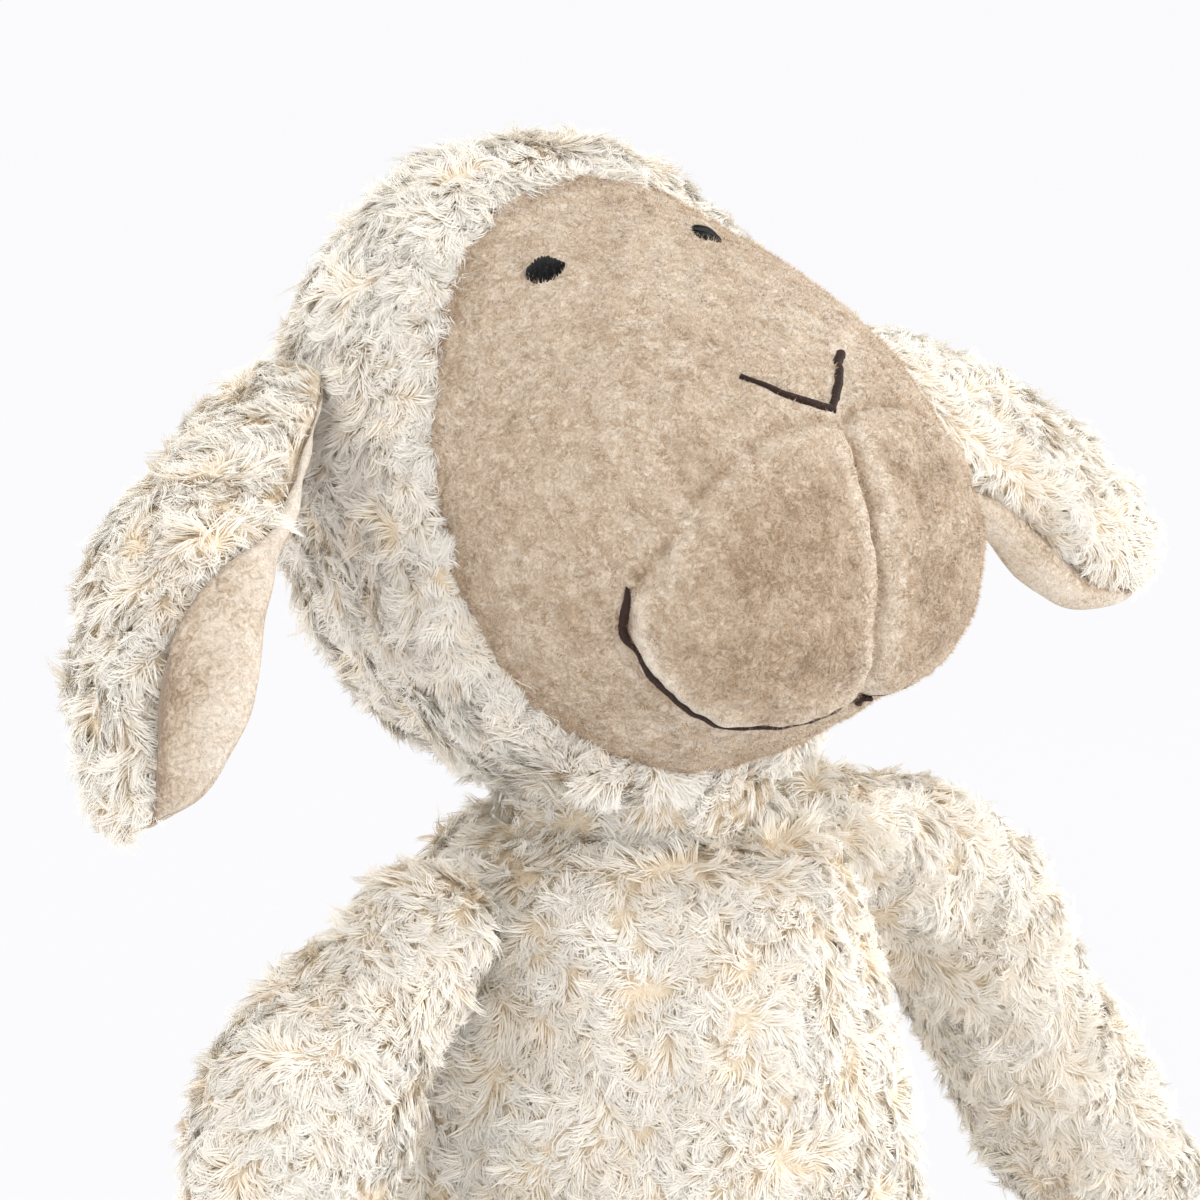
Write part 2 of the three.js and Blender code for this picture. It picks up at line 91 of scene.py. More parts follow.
def unit(v):
    return v / np.maximum(np.linalg.norm(v, axis=-1, keepdims=True), 1e-9)


def clamp(value):
    """The value, held between 0 and 1."""
    return np.clip(value, 0, 1)


def bell(value, width):
    """1 where the value is 0, falling to either side within about that width."""
    return np.exp(-((value / width) ** 2))


def round_angles(count):
    return (np.arange(count) / count * turn)[None]


def spots(x, y, z):
    """Points from their coordinates."""
    return np.stack(np.broadcast_arrays(x, y, z), -1)


def turned(p, angle):
    """Points turned about the Y axis."""
    x, y, z = p[..., 0], p[..., 1], p[..., 2]
    c, s = np.cos(angle), np.sin(angle)
    return spots(x * c + z * s, y, -x * s + z * c)


head_top = [0.042, 0.32, 0.5, 0.58, 0.515, 0.42, 0.312, 0.182, 0]
head_bottom = [0.042, -0.151, -0.319, -0.412, -0.437, -0.403, -0.319, -0.193, 0]
head_side = [0, 0.466, 0.759, 0.931, 1, 0.983, 0.8, 0.51, 0]
head_length = 134.0
head_height = 119.0
head_width = 116.0
muzzle_reach = 60.0
head_tilt = np.radians(-3)


def head_local(along, angle, grow, puffed=False):
    swell = grow * np.sin(np.pi * along)
    top = smooth(head_top, along) * head_height + swell
    bottom = smooth(head_bottom, along) * head_height - swell
    half = smooth(head_side, along) * head_width / 2 + swell
    out = np.cos(angle)
    rise = np.sin(angle)
    rise = np.sign(rise) * np.abs(rise) ** 0.95
    x = half * np.sign(out) * np.abs(out) ** 0.95
    middle = muzzle_reach - head_length / 2
    y = -(middle - (head_length / 2 + grow) * np.cos(np.pi * along))
    z = (top + bottom) / 2 + rise * (top - bottom) / 2
    p = spots(x, y, z)
    if puffed:
        for side in (-1, 1):
            centre = np.array([side * 22.0, -52.0, -8.0])
            share = np.linalg.norm(p - centre, axis=-1) / 20
            p = p + (3 * np.exp(-share * share))[..., None] * unit(centre)
    return p


def seat_head(p):
    """From the head's own frame to the row frame."""
    return turned(p, head_tilt) + head_place


def unseat_head(p):
    return turned(p - head_place, -head_tilt)


line_lean = np.radians(22.5)
line_normal = np.array([0.0, -np.cos(line_lean), np.sin(line_lean)])
line_point = np.array([0.0, -3.5, 10.0])


def past_fur_line(local):
    """How far a head point lies in front of the seam between fur and felt."""
    return (local - line_point) @ line_normal


class Spine:
    """A smooth line through points, read by the share of its length."""

    def __init__(self, points):
        pts = np.asarray(points, float)
        if len(pts) == 2:
            dense = pts[0] + np.linspace(0, 1, 200)[:, None] * (pts[1] - pts[0])
        else:
            ends = [2 * pts[0] - pts[1], *pts, 2 * pts[-1] - pts[-2]]
            dense = []
            for k in range(len(pts) - 1):
                p0, p1, p2, p3 = ends[k : k + 4]
                d0, d1, d2 = (np.linalg.norm(b - a) ** 0.5 for a, b in ((p0, p1), (p1, p2), (p2, p3)))
                t1 = ((p1 - p0) / d0 - (p2 - p0) / (d0 + d1) + (p2 - p1) / d1) * d1
                t2 = ((p2 - p1) / d1 - (p3 - p1) / (d1 + d2) + (p3 - p2) / d2) * d1
                w = np.linspace(0, 1, 120)[:, None]
                dense.append(
                    p1 + t1 * w + (-3 * p1 + 3 * p2 - 2 * t1 - t2) * w**2 + (2 * p1 - 2 * p2 + t1 + t2) * w**3
                )
            dense = np.concatenate(dense)
        gone = np.concatenate([[0], np.cumsum(np.linalg.norm(np.diff(dense, axis=0), axis=1))])
        self.length = gone[-1]
        self.share = gone / gone[-1]
        self.dense = dense

    def at(self, share):
        share = clamp(share)
        return np.stack([np.interp(share, self.share, self.dense[:, k]) for k in range(3)], -1)

    def even(self, count):
        """That many points, evenly spread."""
        return self.at(np.linspace(0, 1, count))

    def along(self, share):
        step = 0.004
        share = np.clip(share, step, 1 - step)
        return unit(self.at(share + step) - self.at(share - step))


def axes_of(along, roll):
    """The two directions across a line: one towards the front, turned by the roll."""
    front = np.array([0.0, -1.0, 0.0])
    across = unit(front - (along @ front)[..., None] * along)
    side = np.cross(along, across)
    roll = np.asarray(roll)[..., None]
    across = across * np.cos(roll) + side * np.sin(roll)
    return across, np.cross(along, across)


# Meshes
def new_object(name, verts, faces, material):
    """Faces is a list of arrays, each with one number of corners."""
    mesh = bpy.data.meshes.new(name)
    verts = np.asarray(verts, np.float32) / 1000
    counts = np.concatenate([np.full(len(f), f.shape[1], np.int32) for f in faces])
    loops = np.concatenate([f.reshape(-1) for f in faces]).astype(np.int32)
    mesh.vertices.add(len(verts))
    mesh.vertices.foreach_set("co", verts.ravel())
    mesh.loops.add(len(loops))
    mesh.loops.foreach_set("vertex_index", loops)
    mesh.polygons.add(len(counts))
    starts = np.concatenate([[0], np.cumsum(counts)[:-1]]).astype(np.int32)
    mesh.polygons.foreach_set("loop_start", starts)
    mesh.polygons.foreach_set("loop_total", counts)
    mesh.update(calc_edges=True)
    mesh.polygons.foreach_set("use_smooth", np.ones(len(counts), bool))
    mesh.materials.append(material)
    obj = bpy.data.objects.new(name, mesh)
    bpy.context.scene.collection.objects.link(obj)
    return obj


def set_shade(obj, shade):
    """The shift in tone that the felt's material reads: random tone, with painted shade and painted
    highlights added in.
    """
    attribute = obj.data.attributes.new("shade", "FLOAT", "POINT")
    attribute.data.foreach_set("value", shade.astype(np.float32))


def lofted(rows):
    """Points and faces of a skin: rows of points round it, with a pole at either end."""
    rings, sides = rows.shape[:2]
    verts = np.concatenate([rows.reshape(-1, 3), rows[0].mean(0)[None], rows[-1].mean(0)[None]])
    k = np.arange(sides)
    n = (k + 1) % sides
    start = np.arange(rings - 1)[:, None] * sides
    quads = np.stack([start + k, start + n, start + sides + n, start + sides + k], -1).reshape(-1, 4)
    last = (rings - 1) * sides
    first_cap = np.stack([np.full(sides, rings * sides), n, k], -1)
    last_cap = np.stack([np.full(sides, rings * sides + 1), last + k, last + n], -1)
    return verts, [quads, np.concatenate([first_cap, last_cap])]


def triangles(faces):
    corners = ([0, 1, 2], [0, 2, 3])
    return np.concatenate([f[:, c] for f in faces for c in corners[: f.shape[1] - 2]])


def normals_of(verts, faces):
    tris = triangles(faces)
    a, b, c = (verts[tris[:, k]] for k in range(3))
    n = np.cross(b - a, c - a)
    out = np.zeros_like(verts)
    for k in range(3):
        np.add.at(out, tris[:, k], n)
    return unit(out)


def turned_out(verts, faces, middle):
    """The same faces, wound so that they face away from the middle."""
    tris = triangles(faces)
    a, b, c = (verts[tris[:, k]] - middle for k in range(3))
    if np.einsum("ij,ij->i", a, np.cross(b, c)).sum() < 0:
        return [f[:, ::-1] for f in faces]
    return faces


def keep_above(verts, height):
    verts[..., 2] = np.maximum(verts[..., 2], height)


def closed(rows):
    """A closed skin that faces outwards."""
    verts, faces = lofted(rows)
    return verts, turned_out(verts, faces, verts.mean(0))


class Waves:
    """A smooth field of noise in space, made of a few waves."""

    def __init__(self, size):
        count = 14
        way = unit(rng.normal(size=(count, 3)))
        self.way = way * (turn / (size * rng.uniform(0.7, 1.6, (count, 1))))
        self.phase = rng.uniform(0, turn, count)
        self.norm = np.sqrt(2 / count)

    def at(self, p):
        return np.sin(p @ self.way.T + self.phase).sum(-1) * self.norm


# Materials
class Nodes:
    def __init__(self, name):
        self.material = bpy.data.materials.new(name)
        self.material.use_nodes = True
        self.tree = self.material.node_tree
        self.shader = self.tree.nodes["Principled BSDF"]
        self.texcoord = self.tree.nodes.new("ShaderNodeTexCoord")

    def add(self, kind, **values):
        """A new node; each value is a setting, a number for an input or a socket linked to it."""
        node = self.tree.nodes.new(kind)
        for key, value in values.items():
            if key not in node.inputs:
                setattr(node, key, value)
            elif isinstance(value, bpy.types.NodeSocket):
                self.tree.links.new(value, node.inputs[key])
            else:
                node.inputs[key].default_value = value
        return node

    def noise(self, scale, detail, rough=0.55, warp=0.0):
        node = self.add("ShaderNodeTexNoise", Scale=scale, Detail=detail, Roughness=rough, Distortion=warp)
        self.tree.links.new(self.texcoord.outputs["Object"], node.inputs["Vector"])
        return node.outputs["Fac"]

    def ramp(self, source, stops):
        node = self.add("ShaderNodeValToRGB", Fac=source)
        elements = node.color_ramp.elements
        while len(elements) < len(stops):
            elements.new(0.5)
        for element, (place, *color) in zip(elements, stops):
            element.position = place
            element.color = rgb(*color)
        return node.outputs["Color"]

    def multiply(self, share, a, b):
        node = self.add("ShaderNodeMix", data_type="RGBA", blend_type="MULTIPLY")
        node.inputs[0].default_value = share
        self.tree.links.new(a, node.inputs[6])
        self.tree.links.new(b, node.inputs[7])
        return node.outputs[2]

    def span(self, source, to_low, to_high, low=0.3, high=0.7):
        """The source's values from low to high, spread over new ones."""
        node = self.add("ShaderNodeMapRange", Value=source)
        for k, value in enumerate((low, high, to_low, to_high)):
            node.inputs[k + 1].default_value = value
        return node.outputs[0]

    def bump(self, source, strength, distance, **more):
        node = self.add("ShaderNodeBump", Height=source, Strength=strength, Distance=distance, **more)
        return node.outputs[0]

    def finish(self, specular, sheen, sheen_rough, color, roughness, **more):
        inputs = self.shader.inputs
        inputs["Specular IOR Level"].default_value = specular
        inputs["Sheen Weight"].default_value = sheen
        inputs["Sheen Roughness"].default_value = sheen_rough
        for key, source in {"Base Color": color, "Roughness": roughness, **more}.items():
            self.tree.links.new(source, inputs[key])
        return self.material


def math_node(tree, operation, a, b):
    """Two sockets, or a socket and a number, brought together."""
    node = tree.nodes.new("ShaderNodeMath")
    node.operation = operation
    tree.links.new(a, node.inputs[0])
    if isinstance(b, float):
        node.inputs[1].default_value = b
    else:
        tree.links.new(b, node.inputs[1])
    return node.outputs[0]


def rgb(r, g, b):
    def linear(v):
        v /= 255
        return v / 12.92 if v <= 0.04045 else ((v + 0.055) / 1.055) ** 2.4

    return (linear(r), linear(g), linear(b), 1.0)


def strand_material(name, climb, tones, patches):
    """Strands, by the way up each one and by its own tone, with paler and deeper patches."""
    m = Nodes(name)
    uv = m.add("ShaderNodeUVMap", uv_map="OFBake")
    split = m.add("ShaderNodeSeparateXYZ", Vector=uv.outputs[0])
    color = m.multiply(1.0, m.ramp(split.outputs[1], climb), m.ramp(split.outputs[0], tones))
    color = m.multiply(0.6, color, m.ramp(m.noise(55, 3), patches))
    return m.finish(0.15, 0.1, 0.5, color, m.span(m.noise(400, 2), 0.62, 0.8))


def underfur_material():
    """The matted depth of the pile, between the strands."""
    m = Nodes("underfur")
    fine = m.noise(900, 4, 0.7)
    color = m.ramp(fine, [(0.3, 247, 222, 188), (0.55, 253, 239, 215), (0.75, 255, 248, 233)])
    return m.finish(0.5, 0.4, 0.6, color, m.span(fine, 0.85, 1.0), Normal=m.bump(fine, 0.8, 0.0012))


def felt_material():
    """Brushed felt. Its tone is shifted by the mesh's own shade attribute, which holds random tone as well as
    painted shade and painted highlights.
    """
    m = Nodes("felt")
    tones = [(0.08, 163, 139, 116), (0.36, 205, 185, 162), (0.6, 229, 213, 194), (1.0, 244, 234, 220)]
    shade = m.add("ShaderNodeAttribute", attribute_name="shade")
    streaks = m.noise(560, 4, 0.62, 1.6)
    blotch = m.noise(150, 2, 0.5)
    grain = m.noise(1900, 3, 0.6)
    total = math_node(m.tree, "ADD", m.span(streaks, 0.0, 0.78, 0.25, 0.75), m.span(blotch, 0.0, 0.22))
    shift = math_node(m.tree, "ADD", total, shade.outputs["Fac"])
    specks = m.ramp(grain, [(0.3, 205, 196, 186), (0.6, 255, 255, 255)])
    color = m.multiply(0.55, m.ramp(shift, tones), specks)
    normal = m.bump(grain, 0.5, 0.0005, Normal=m.bump(streaks, 0.8, 0.0011))
    return m.finish(0.2, 0.35, 0.45, color, m.span(grain, 0.82, 0.98), Normal=normal)


def thread_material(name, dark, light, specular):
    """Twisted thread, mostly dark, with a few paler flecks, which on the black eye thread are painted sheen.
    """
    m = Nodes(name)
    fibres = m.noise(1500, 4, 0.7)
    color = m.ramp(fibres, [(0.3, *dark), (0.55, *dark), (0.74, *light)])
    normal = m.bump(fibres, 0.6, 0.0003)
    return m.finish(specular, 0.05, 0.5, color, m.span(fibres, 0.5, 0.75), Normal=normal)


# The ramp up each fleece strand is partly painted light: the warmer roots are painted warm shade for the
# depth of the pile, and the tips are a little duller than the middles to offset the full light that falls on
# them.
fur_cloth = strand_material(
    "fur",
    [
        (0.0, 250, 235, 211), (0.25, 254, 245, 229), (0.5, 254, 250, 242),
        (0.8, 249, 247, 243), (1.0, 246, 244, 240),
    ],
    [(0.0, 254, 247, 238), (0.38, 255, 254, 252), (1.0, 255, 255, 255)],
    [(0.3, 255, 251, 246), (0.55, 255, 255, 255)],
)
underfur = underfur_material()
felt = felt_material()
felt_pile = strand_material(
    "felt_pile",
    [(0.0, 196, 174, 149), (0.6, 224, 208, 188), (1.0, 240, 229, 214)],
    [(0.0, 206, 188, 168), (0.5, 244, 238, 230), (1.0, 255, 255, 255)],
    [(0.35, 240, 234, 226), (0.62, 255, 255, 255)],
)
brown_thread = thread_material("brown_thread", (50, 31, 24), (98, 68, 55), 0.3)
# The black thread's pale flecks are a painted sheen.
black_thread = thread_material("black_thread", (2, 2, 3), (64, 64, 68), 0.15)


# Fur
strand_steps = np.array([0.0, 0.34, 0.68, 1.0])


def scatter(verts, tris, weight, count):
    """Random places on the triangles: the corners round each, and their shares."""
    a, b, c = (verts[tris[:, k]] for k in range(3))
    area = np.linalg.norm(np.cross(b - a, c - a), axis=1) / 2 * weight[tris].mean(1)
    pick = np.searchsorted(np.cumsum(area) / area.sum(), rng.random(count))
    pick = np.minimum(pick, len(tris) - 1)
    r1 = np.sqrt(rng.random(count))
    r2 = rng.random(count)
    return tris[pick], np.stack([1 - r1, r1 * (1 - r2), r1 * r2], -1)


def read(values, corners, share):
    """Values at scattered places, from those at the points."""
    return (values[corners] * (share[..., None] if values.ndim == 2 else share)).sum(1)


def thinned(points, size):
    """Keeps one point in each cell of a grid."""
    cell = np.floor(points / size).astype(np.int64)
    key = (cell[:, 0] * 73856093) ^ (cell[:, 1] * 19349663) ^ (cell[:, 2] * 83492791)
    return np.unique(key, return_index=True)[1]


def area_under(values, at):
    return ((values[:, 1:] + values[:, :-1]) / 2 * np.diff(at)).sum(1)


def along_skin(way, normal):
    """The directions, laid down on the skin."""
    return unit(way - (way * normal).sum(-1, keepdims=True) * normal)


def map_strands(obj, tone, sideways, heights):
    """Maps strands by their own tone across and by the way up the strand."""
    u = tone[:, None] + sideways[None]
    v = np.broadcast_to(heights[None], u.shape)
    layer = obj.data.uv_layers.new(name="OFBake")
    layer.data.foreach_set("uv", np.stack([u, v], -1).astype(np.float32).ravel())


swirl_parts = [Waves(17) for _ in range(3)]
curl_field = Waves(9)
lift_field = Waves(7)
length_field = Waves(12)
tone_field = Waves(9)


def swirl(p):
    return np.stack([part.at(p) for part in swirl_parts], -1)


def grow(name, count, verts, tris, normals, comb, length, density, body):
    """Grows about that many strands, in locks whose tips come together."""
    lock_gap = 2.0
    per_lock = 9
    places = scatter(verts, tris, density, int(count / per_lock * 2.2))
    root = read(verts, *places)
    keep = thinned(root, lock_gap)
    if len(keep) > count // per_lock:
        keep = rng.permutation(keep)[: count // per_lock]
    root = root[keep]
    normal = unit(read(normals, *places)[keep])
    comb = along_skin(read(comb, *places)[keep] + 0.85 * swirl(root), normal)
    length = read(length, *places)[keep]
    side = np.cross(normal, comb)
    locks = len(root)
    length = length * (1 + 0.18 * length_field.at(root)) * rng.uniform(0.82, 1.12, locks)
    raised = rng.random(locks) < 0.14
    lean0 = np.radians(46 + 14 * rng.random(locks) - 18 * raised)
    lean1 = np.radians(91 + 8 * lift_field.at(root) + 6 * rng.normal(size=locks) - 16 * raised)
    curl = 1.5 * curl_field.at(root) + 0.9 * rng.normal(size=locks)
    hook = rng.normal(size=locks)
    tone = 0.5 + 0.16 * tone_field.at(root) + 0.1 * rng.normal(size=locks)

    # Each strand follows its lock, starts a little apart from it and ends close to its tip.
    own = np.repeat(np.arange(locks), per_lock)
    strands = len(own)
    spread = lock_gap * 0.66 * np.sqrt(rng.random(strands))
    angle = rng.uniform(0, turn, strands)
    o_comb = spread * np.cos(angle)
    o_side = spread * np.sin(angle)
    size = rng.uniform(0.8, 1.06, strands)
    wave = rng.uniform(0, turn, strands)
    wide = rng.uniform(0.075, 0.135, strands)
    hook = hook[own] * rng.uniform(0.5, 1.3, strands)
    points = []
    for s in strand_steps:
        fine = np.linspace(0, s, 9)[None]
        lean = lean0[:, None] + (lean1 - lean0)[:, None] * fine**0.8
        bend = curl[:, None] * fine
        up = area_under(np.cos(lean), fine)
        out = area_under(np.sin(lean) * np.cos(bend), fine)
        off = area_under(np.sin(lean) * np.sin(bend), fine)
        reach = (length[own] * size)[:, None]
        p = root[own] + reach * (
            up[own, None] * normal[own] + out[own, None] * comb[own] + off[own, None] * side[own]
        )
        close = 1 - 0.42 * s**1.1
        wobble = 0.3 * s * np.sin(wave + 5 * s) + 0.9 * hook * s**3
        p = p + comb[own] * (o_comb * close)[:, None] + side[own] * (o_side * close + wobble)[:, None]
        if s == 0:
            p = p - normal[own] * 0.4
        keep_above(p, 0.25)
        points.append(p)
    points = np.stack(points, 1)

    # A strand is a narrow ribbon that mostly faces away from the cloth, like a wisp of fibres.
    verts = np.empty((strands, 7, 3))
    radii = wide[:, None] * np.array([1.0, 1.05, 0.78])
    twist = rng.uniform(-0.4, 0.4, strands)[:, None]
    for ring in range(3):
        ahead = unit(points[:, ring + 1] - points[:, max(ring - 1, 0)])
        b = unit(np.cross(ahead, normal[own]))
        c = np.cross(ahead, b)
        across = (np.cos(twist) * b + np.sin(twist) * c) * radii[:, ring, None]
        verts[:, ring * 2] = points[:, ring] - across
        verts[:, ring * 2 + 1] = points[:, ring] + across
    verts[:, 6] = points[:, 3]
    keep_above(verts, 0.1)
    local = np.array([(0, 1, 3), (0, 3, 2), (2, 3, 5), (2, 5, 4), (4, 5, 6)])
    base = (np.arange(strands) * 7)[:, None, None]
    faces = (local[None] + base).reshape(-1, 3)
    obj = new_object(name, verts.reshape(-1, 3), [faces], fur_cloth)

    own_tone = np.clip(tone[own] + 0.1 * rng.normal(size=strands), 0.02, 0.97)
    sideways = np.array([0, 1, 0, 1, 0, 1, 0.5]) * 0.003
    heights = np.repeat(strand_steps, 2)[:7] * 0.98 + 0.01
    map_strands(obj, own_tone, sideways[local.ravel()], heights[local.ravel()])
    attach(obj, body)


def grow_all(names, count, verts, faces, comb, length, density, body):
    """Fur over a piece, from its lie, its length and its density at each point."""
    comb = np.broadcast_to(comb, verts.shape)
    length, density = (np.broadcast_to(v, len(verts)) for v in (length, density))
    for name in names:
        grow(name, count, verts, triangles(faces), normals_of(verts, faces), comb, length, density, body)


def numbered(name, count):
    return [f"{name}_{k + 1}" for k in range(count)]


def nap(name, verts, faces, weight, count, length, body):
    """The short brushed pile of felt, as single fibres that lie every way."""
    places = scatter(verts, triangles(faces), weight, count)
    root = read(verts, *places)
    normal = unit(read(normals_of(verts, faces), *places))
    way = along_skin(unit(rng.normal(size=(count, 3)) + 0.8 * swirl(root * 3)), normal)
    side = np.cross(normal, way)
    size = length * rng.uniform(0.6, 1.2, count)[:, None]
    lean = np.radians(rng.uniform(35, 82, count))[:, None]
    tip = root + size * (np.cos(lean) * normal + np.sin(lean) * way)
    wide = rng.uniform(0.05, 0.09, count)[:, None]
    low = root - 0.1 * normal
    points = np.stack([low + wide * side, low - wide * side, tip], 1)
    faces = np.arange(count * 3).reshape(-1, 3)
    obj = new_object(name, points.reshape(-1, 3), [faces], felt_pile)
    tone = np.clip(0.5 + 0.22 * tone_field.at(root * 2.5) + 0.14 * rng.normal(size=count), 0.02, 0.97)
    map_strands(obj, tone, np.array([0, 0.003, 0.0015]), np.array([0.02, 0.02, 0.98]))
    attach(obj, body)


def padded_base(name, skin, body, nodes, lump=0.7, lowest=-1):
    """The stuffed cloth form under the fur, slightly lumpy, standing for its CAD solids.

    It gives back the skin and its normals for the fur, which starts no lower than lowest.
    """
    verts, faces = skin
    normals = normals_of(verts, faces)
    soft = Waves(24)
    fine = Waves(8)
    verts = verts + normals * (lump * soft.at(verts) + 0.25 * fine.at(verts))[:, None]
    obj = new_object(name, verts, faces, underfur)
    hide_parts(*nodes)
    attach(obj, body)
    if lowest > 0:
        keep_above(verts, lowest)
    return verts, faces, normals_of(verts, faces)


def facing(normals):
    """How much the camera sees of a surface, for where the fur is densest."""
    return np.clip(0.62 + 0.75 * (normals @ back), 0.45, 1.25)


# Torso
torso_shares = [0, 0.75, 0.95, 1, 0.96, 0.865, 0.76, 0.57, 0]
torso_width = 126
torso_height = 171
neck_centre = np.array([0, 0, 174.0])
down = np.array([0, 0, -1.0])


def build_torso():
    inset = -2.1
    along = np.linspace(0.02, 0.985, 70)[:, None]
    angle = round_angles(96)
    radius = smooth(torso_shares, along) / 2 * torso_width + inset * np.sin(np.pi * along)
    up = torso_height / 2 - (torso_height / 2 + inset) * np.cos(np.pi * along) - 0.5
    rows = spots(radius * np.cos(angle), radius * np.sin(angle), up)
    keep_above(rows, 1.2)
    nodes = ["torso_fur", "torso_stuffing", "pellet_bag"]
    verts, faces, normals = padded_base("torso_cloth", closed(rows), "torso", nodes, lowest=0.6)
    z = verts[:, 2]
    # Shorter and thinner where the toy sits, longer under the chin.
    length = 6.4 - 2.4 * (1 - clamp((z - 4) / 14)) + 1.2 * clamp((z - 148) / 14)
    density = facing(normals) * np.clip((z - 1.5) / 6, 0.1, 1)
    comb = down + 0.25 * normals
    grow_all(numbered("torso_fur", 6), 39000, verts, faces, comb, length, density, "torso")


# Head
def build_head():
    along = np.linspace(0.015, 0.985, 110)[:, None]
    angle = round_angles(128)
    ahead = past_fur_line(head_local(along, angle, 4.0))
    # Past the seam the cloth form goes on under the felt.
    local = head_local(along, angle, 4.0 - 7.0 * clamp((ahead + 4.5) / 6))
    skin = closed(seat_head(local))
    verts, faces, normals = padded_base("head_cloth", skin, "head", ["head_fur", "head_stuffing"], 0.4)
    lie = unseat_head(verts)
    ahead = past_fur_line(lie)
    comb = 0.35 * np.sign(lie) * [1, 0, 0] + [0, 0.25, -0.75]
    front = clamp(1 - np.abs(ahead) / 14)[:, None]
    comb = comb + front * np.array([0.0, -1.0, 0.1]) * 1.2
    length = 6.6 - 0.9 * front[:, 0]
    density = (facing(normals) + 0.35 * clamp(normals[:, 2])) * (ahead < -0.2)
    density = density * (1 + 1.8 * clamp(1 - np.abs(ahead) / 7))
    neck = np.linalg.norm(verts - neck_centre, axis=1)
    density = density * np.clip((neck - 26) / 4, 0.02, 1)
    grow_all(numbered("head_fur", 6), 37000, verts, faces, comb, length, density, "head")


# The felt face
pad_outline = np.array(
    [
        [0, 25], [-6, 27], [-12, 27], [-24, 24], [-35, 17], [-42, 8], [-46.5, -1],
        [-46.5, -8], [-44, -15.5], [-38, -22], [-31, -26.5], [-22, -29], [-12, -29.2],
        [-4, -28.2], [0, -26.5],
    ]
)


def inside_pad(x, z):
    """How far inside the outline of the lip, seen from the front; less than 0 is outside."""
    px = -np.abs(x)
    inside = np.zeros(px.shape, bool)
    best = np.full(px.shape, 1e9)
    for a, b in zip(pad_outline, np.roll(pad_outline, -1, 0)):
        d = b - a
        t = clamp(((px - a[0]) * d[0] + (z - a[1]) * d[1]) / (d @ d))
        best = np.minimum(best, np.hypot(px - a[0] - t * d[0], z - a[1] - t * d[1]))
        cross = (a[1] > z) != (b[1] > z)
        where = (b[0] - a[0]) * (z - a[1]) / np.where(np.abs(b[1] - a[1]) < 1e-9, 1e-9, b[1] - a[1]) + a[0]
        inside ^= cross & (px < where)
    return np.where(inside, best, -best)


face_middle = np.array([0.0, -10.0, 0.0])
face_lumps = Waves(9)
face_fine = Waves(3.2)


def towards_front(local):
    return clamp((-local[..., 1] - 6) / 12)


def towards_chin(local):
    return clamp((6 - local[..., 2]) / 26)


def face_at(along, angle):
    """The felt's points in the head's own frame, with its lip, seam and soft lumps."""

    def form(along, angle):
        return head_local(along, angle, 0.35, True)

    p = form(along, angle)
    e = 1e-3
    du = form(clamp(along + e), angle) - form(along - e, angle)
    dv = form(along, angle + e) - form(along, angle - e)
    n = unit(np.cross(du, dv))
    flip = ((p - face_middle) * n).sum(-1, keepdims=True) < 0
    n = np.where(flip, -n, n)
    x, z = p[..., 0], p[..., 2]
    front = towards_front(p)
    inner = inside_pad(x, z)
    low = towards_chin(p)
    width = 3.6 + 8 * (1 - low)
    pillow = clamp(inner / width)
    pillow = np.sqrt(np.maximum(1 - (1 - pillow) ** 2, 0))
    height = (2.0 + 1.6 * low) * pillow * front
    dip = np.exp(-((inner + 0.8) ** 2) / 1.8) * (0.35 + 0.65 * low) * front
    seam_zone = clamp((27 - z) / 4) * clamp((z + 30) / 4) * front
    groove = 2.1 * bell(x, 0.85) * seam_zone + 0.35 * bell(x, 3.0) * seam_zone
    wavy = 0.35 + 0.65 * face_lumps.at(p * 1.4) ** 2
    groove = groove + 0.5 * bell(inner, 1.1) * front * wavy * (1 - low)
    lumps = 0.2 * face_lumps.at(p) + 0.16 * face_fine.at(p)
    return p + n * (height - dip - groove + lumps)[..., None], n, inner


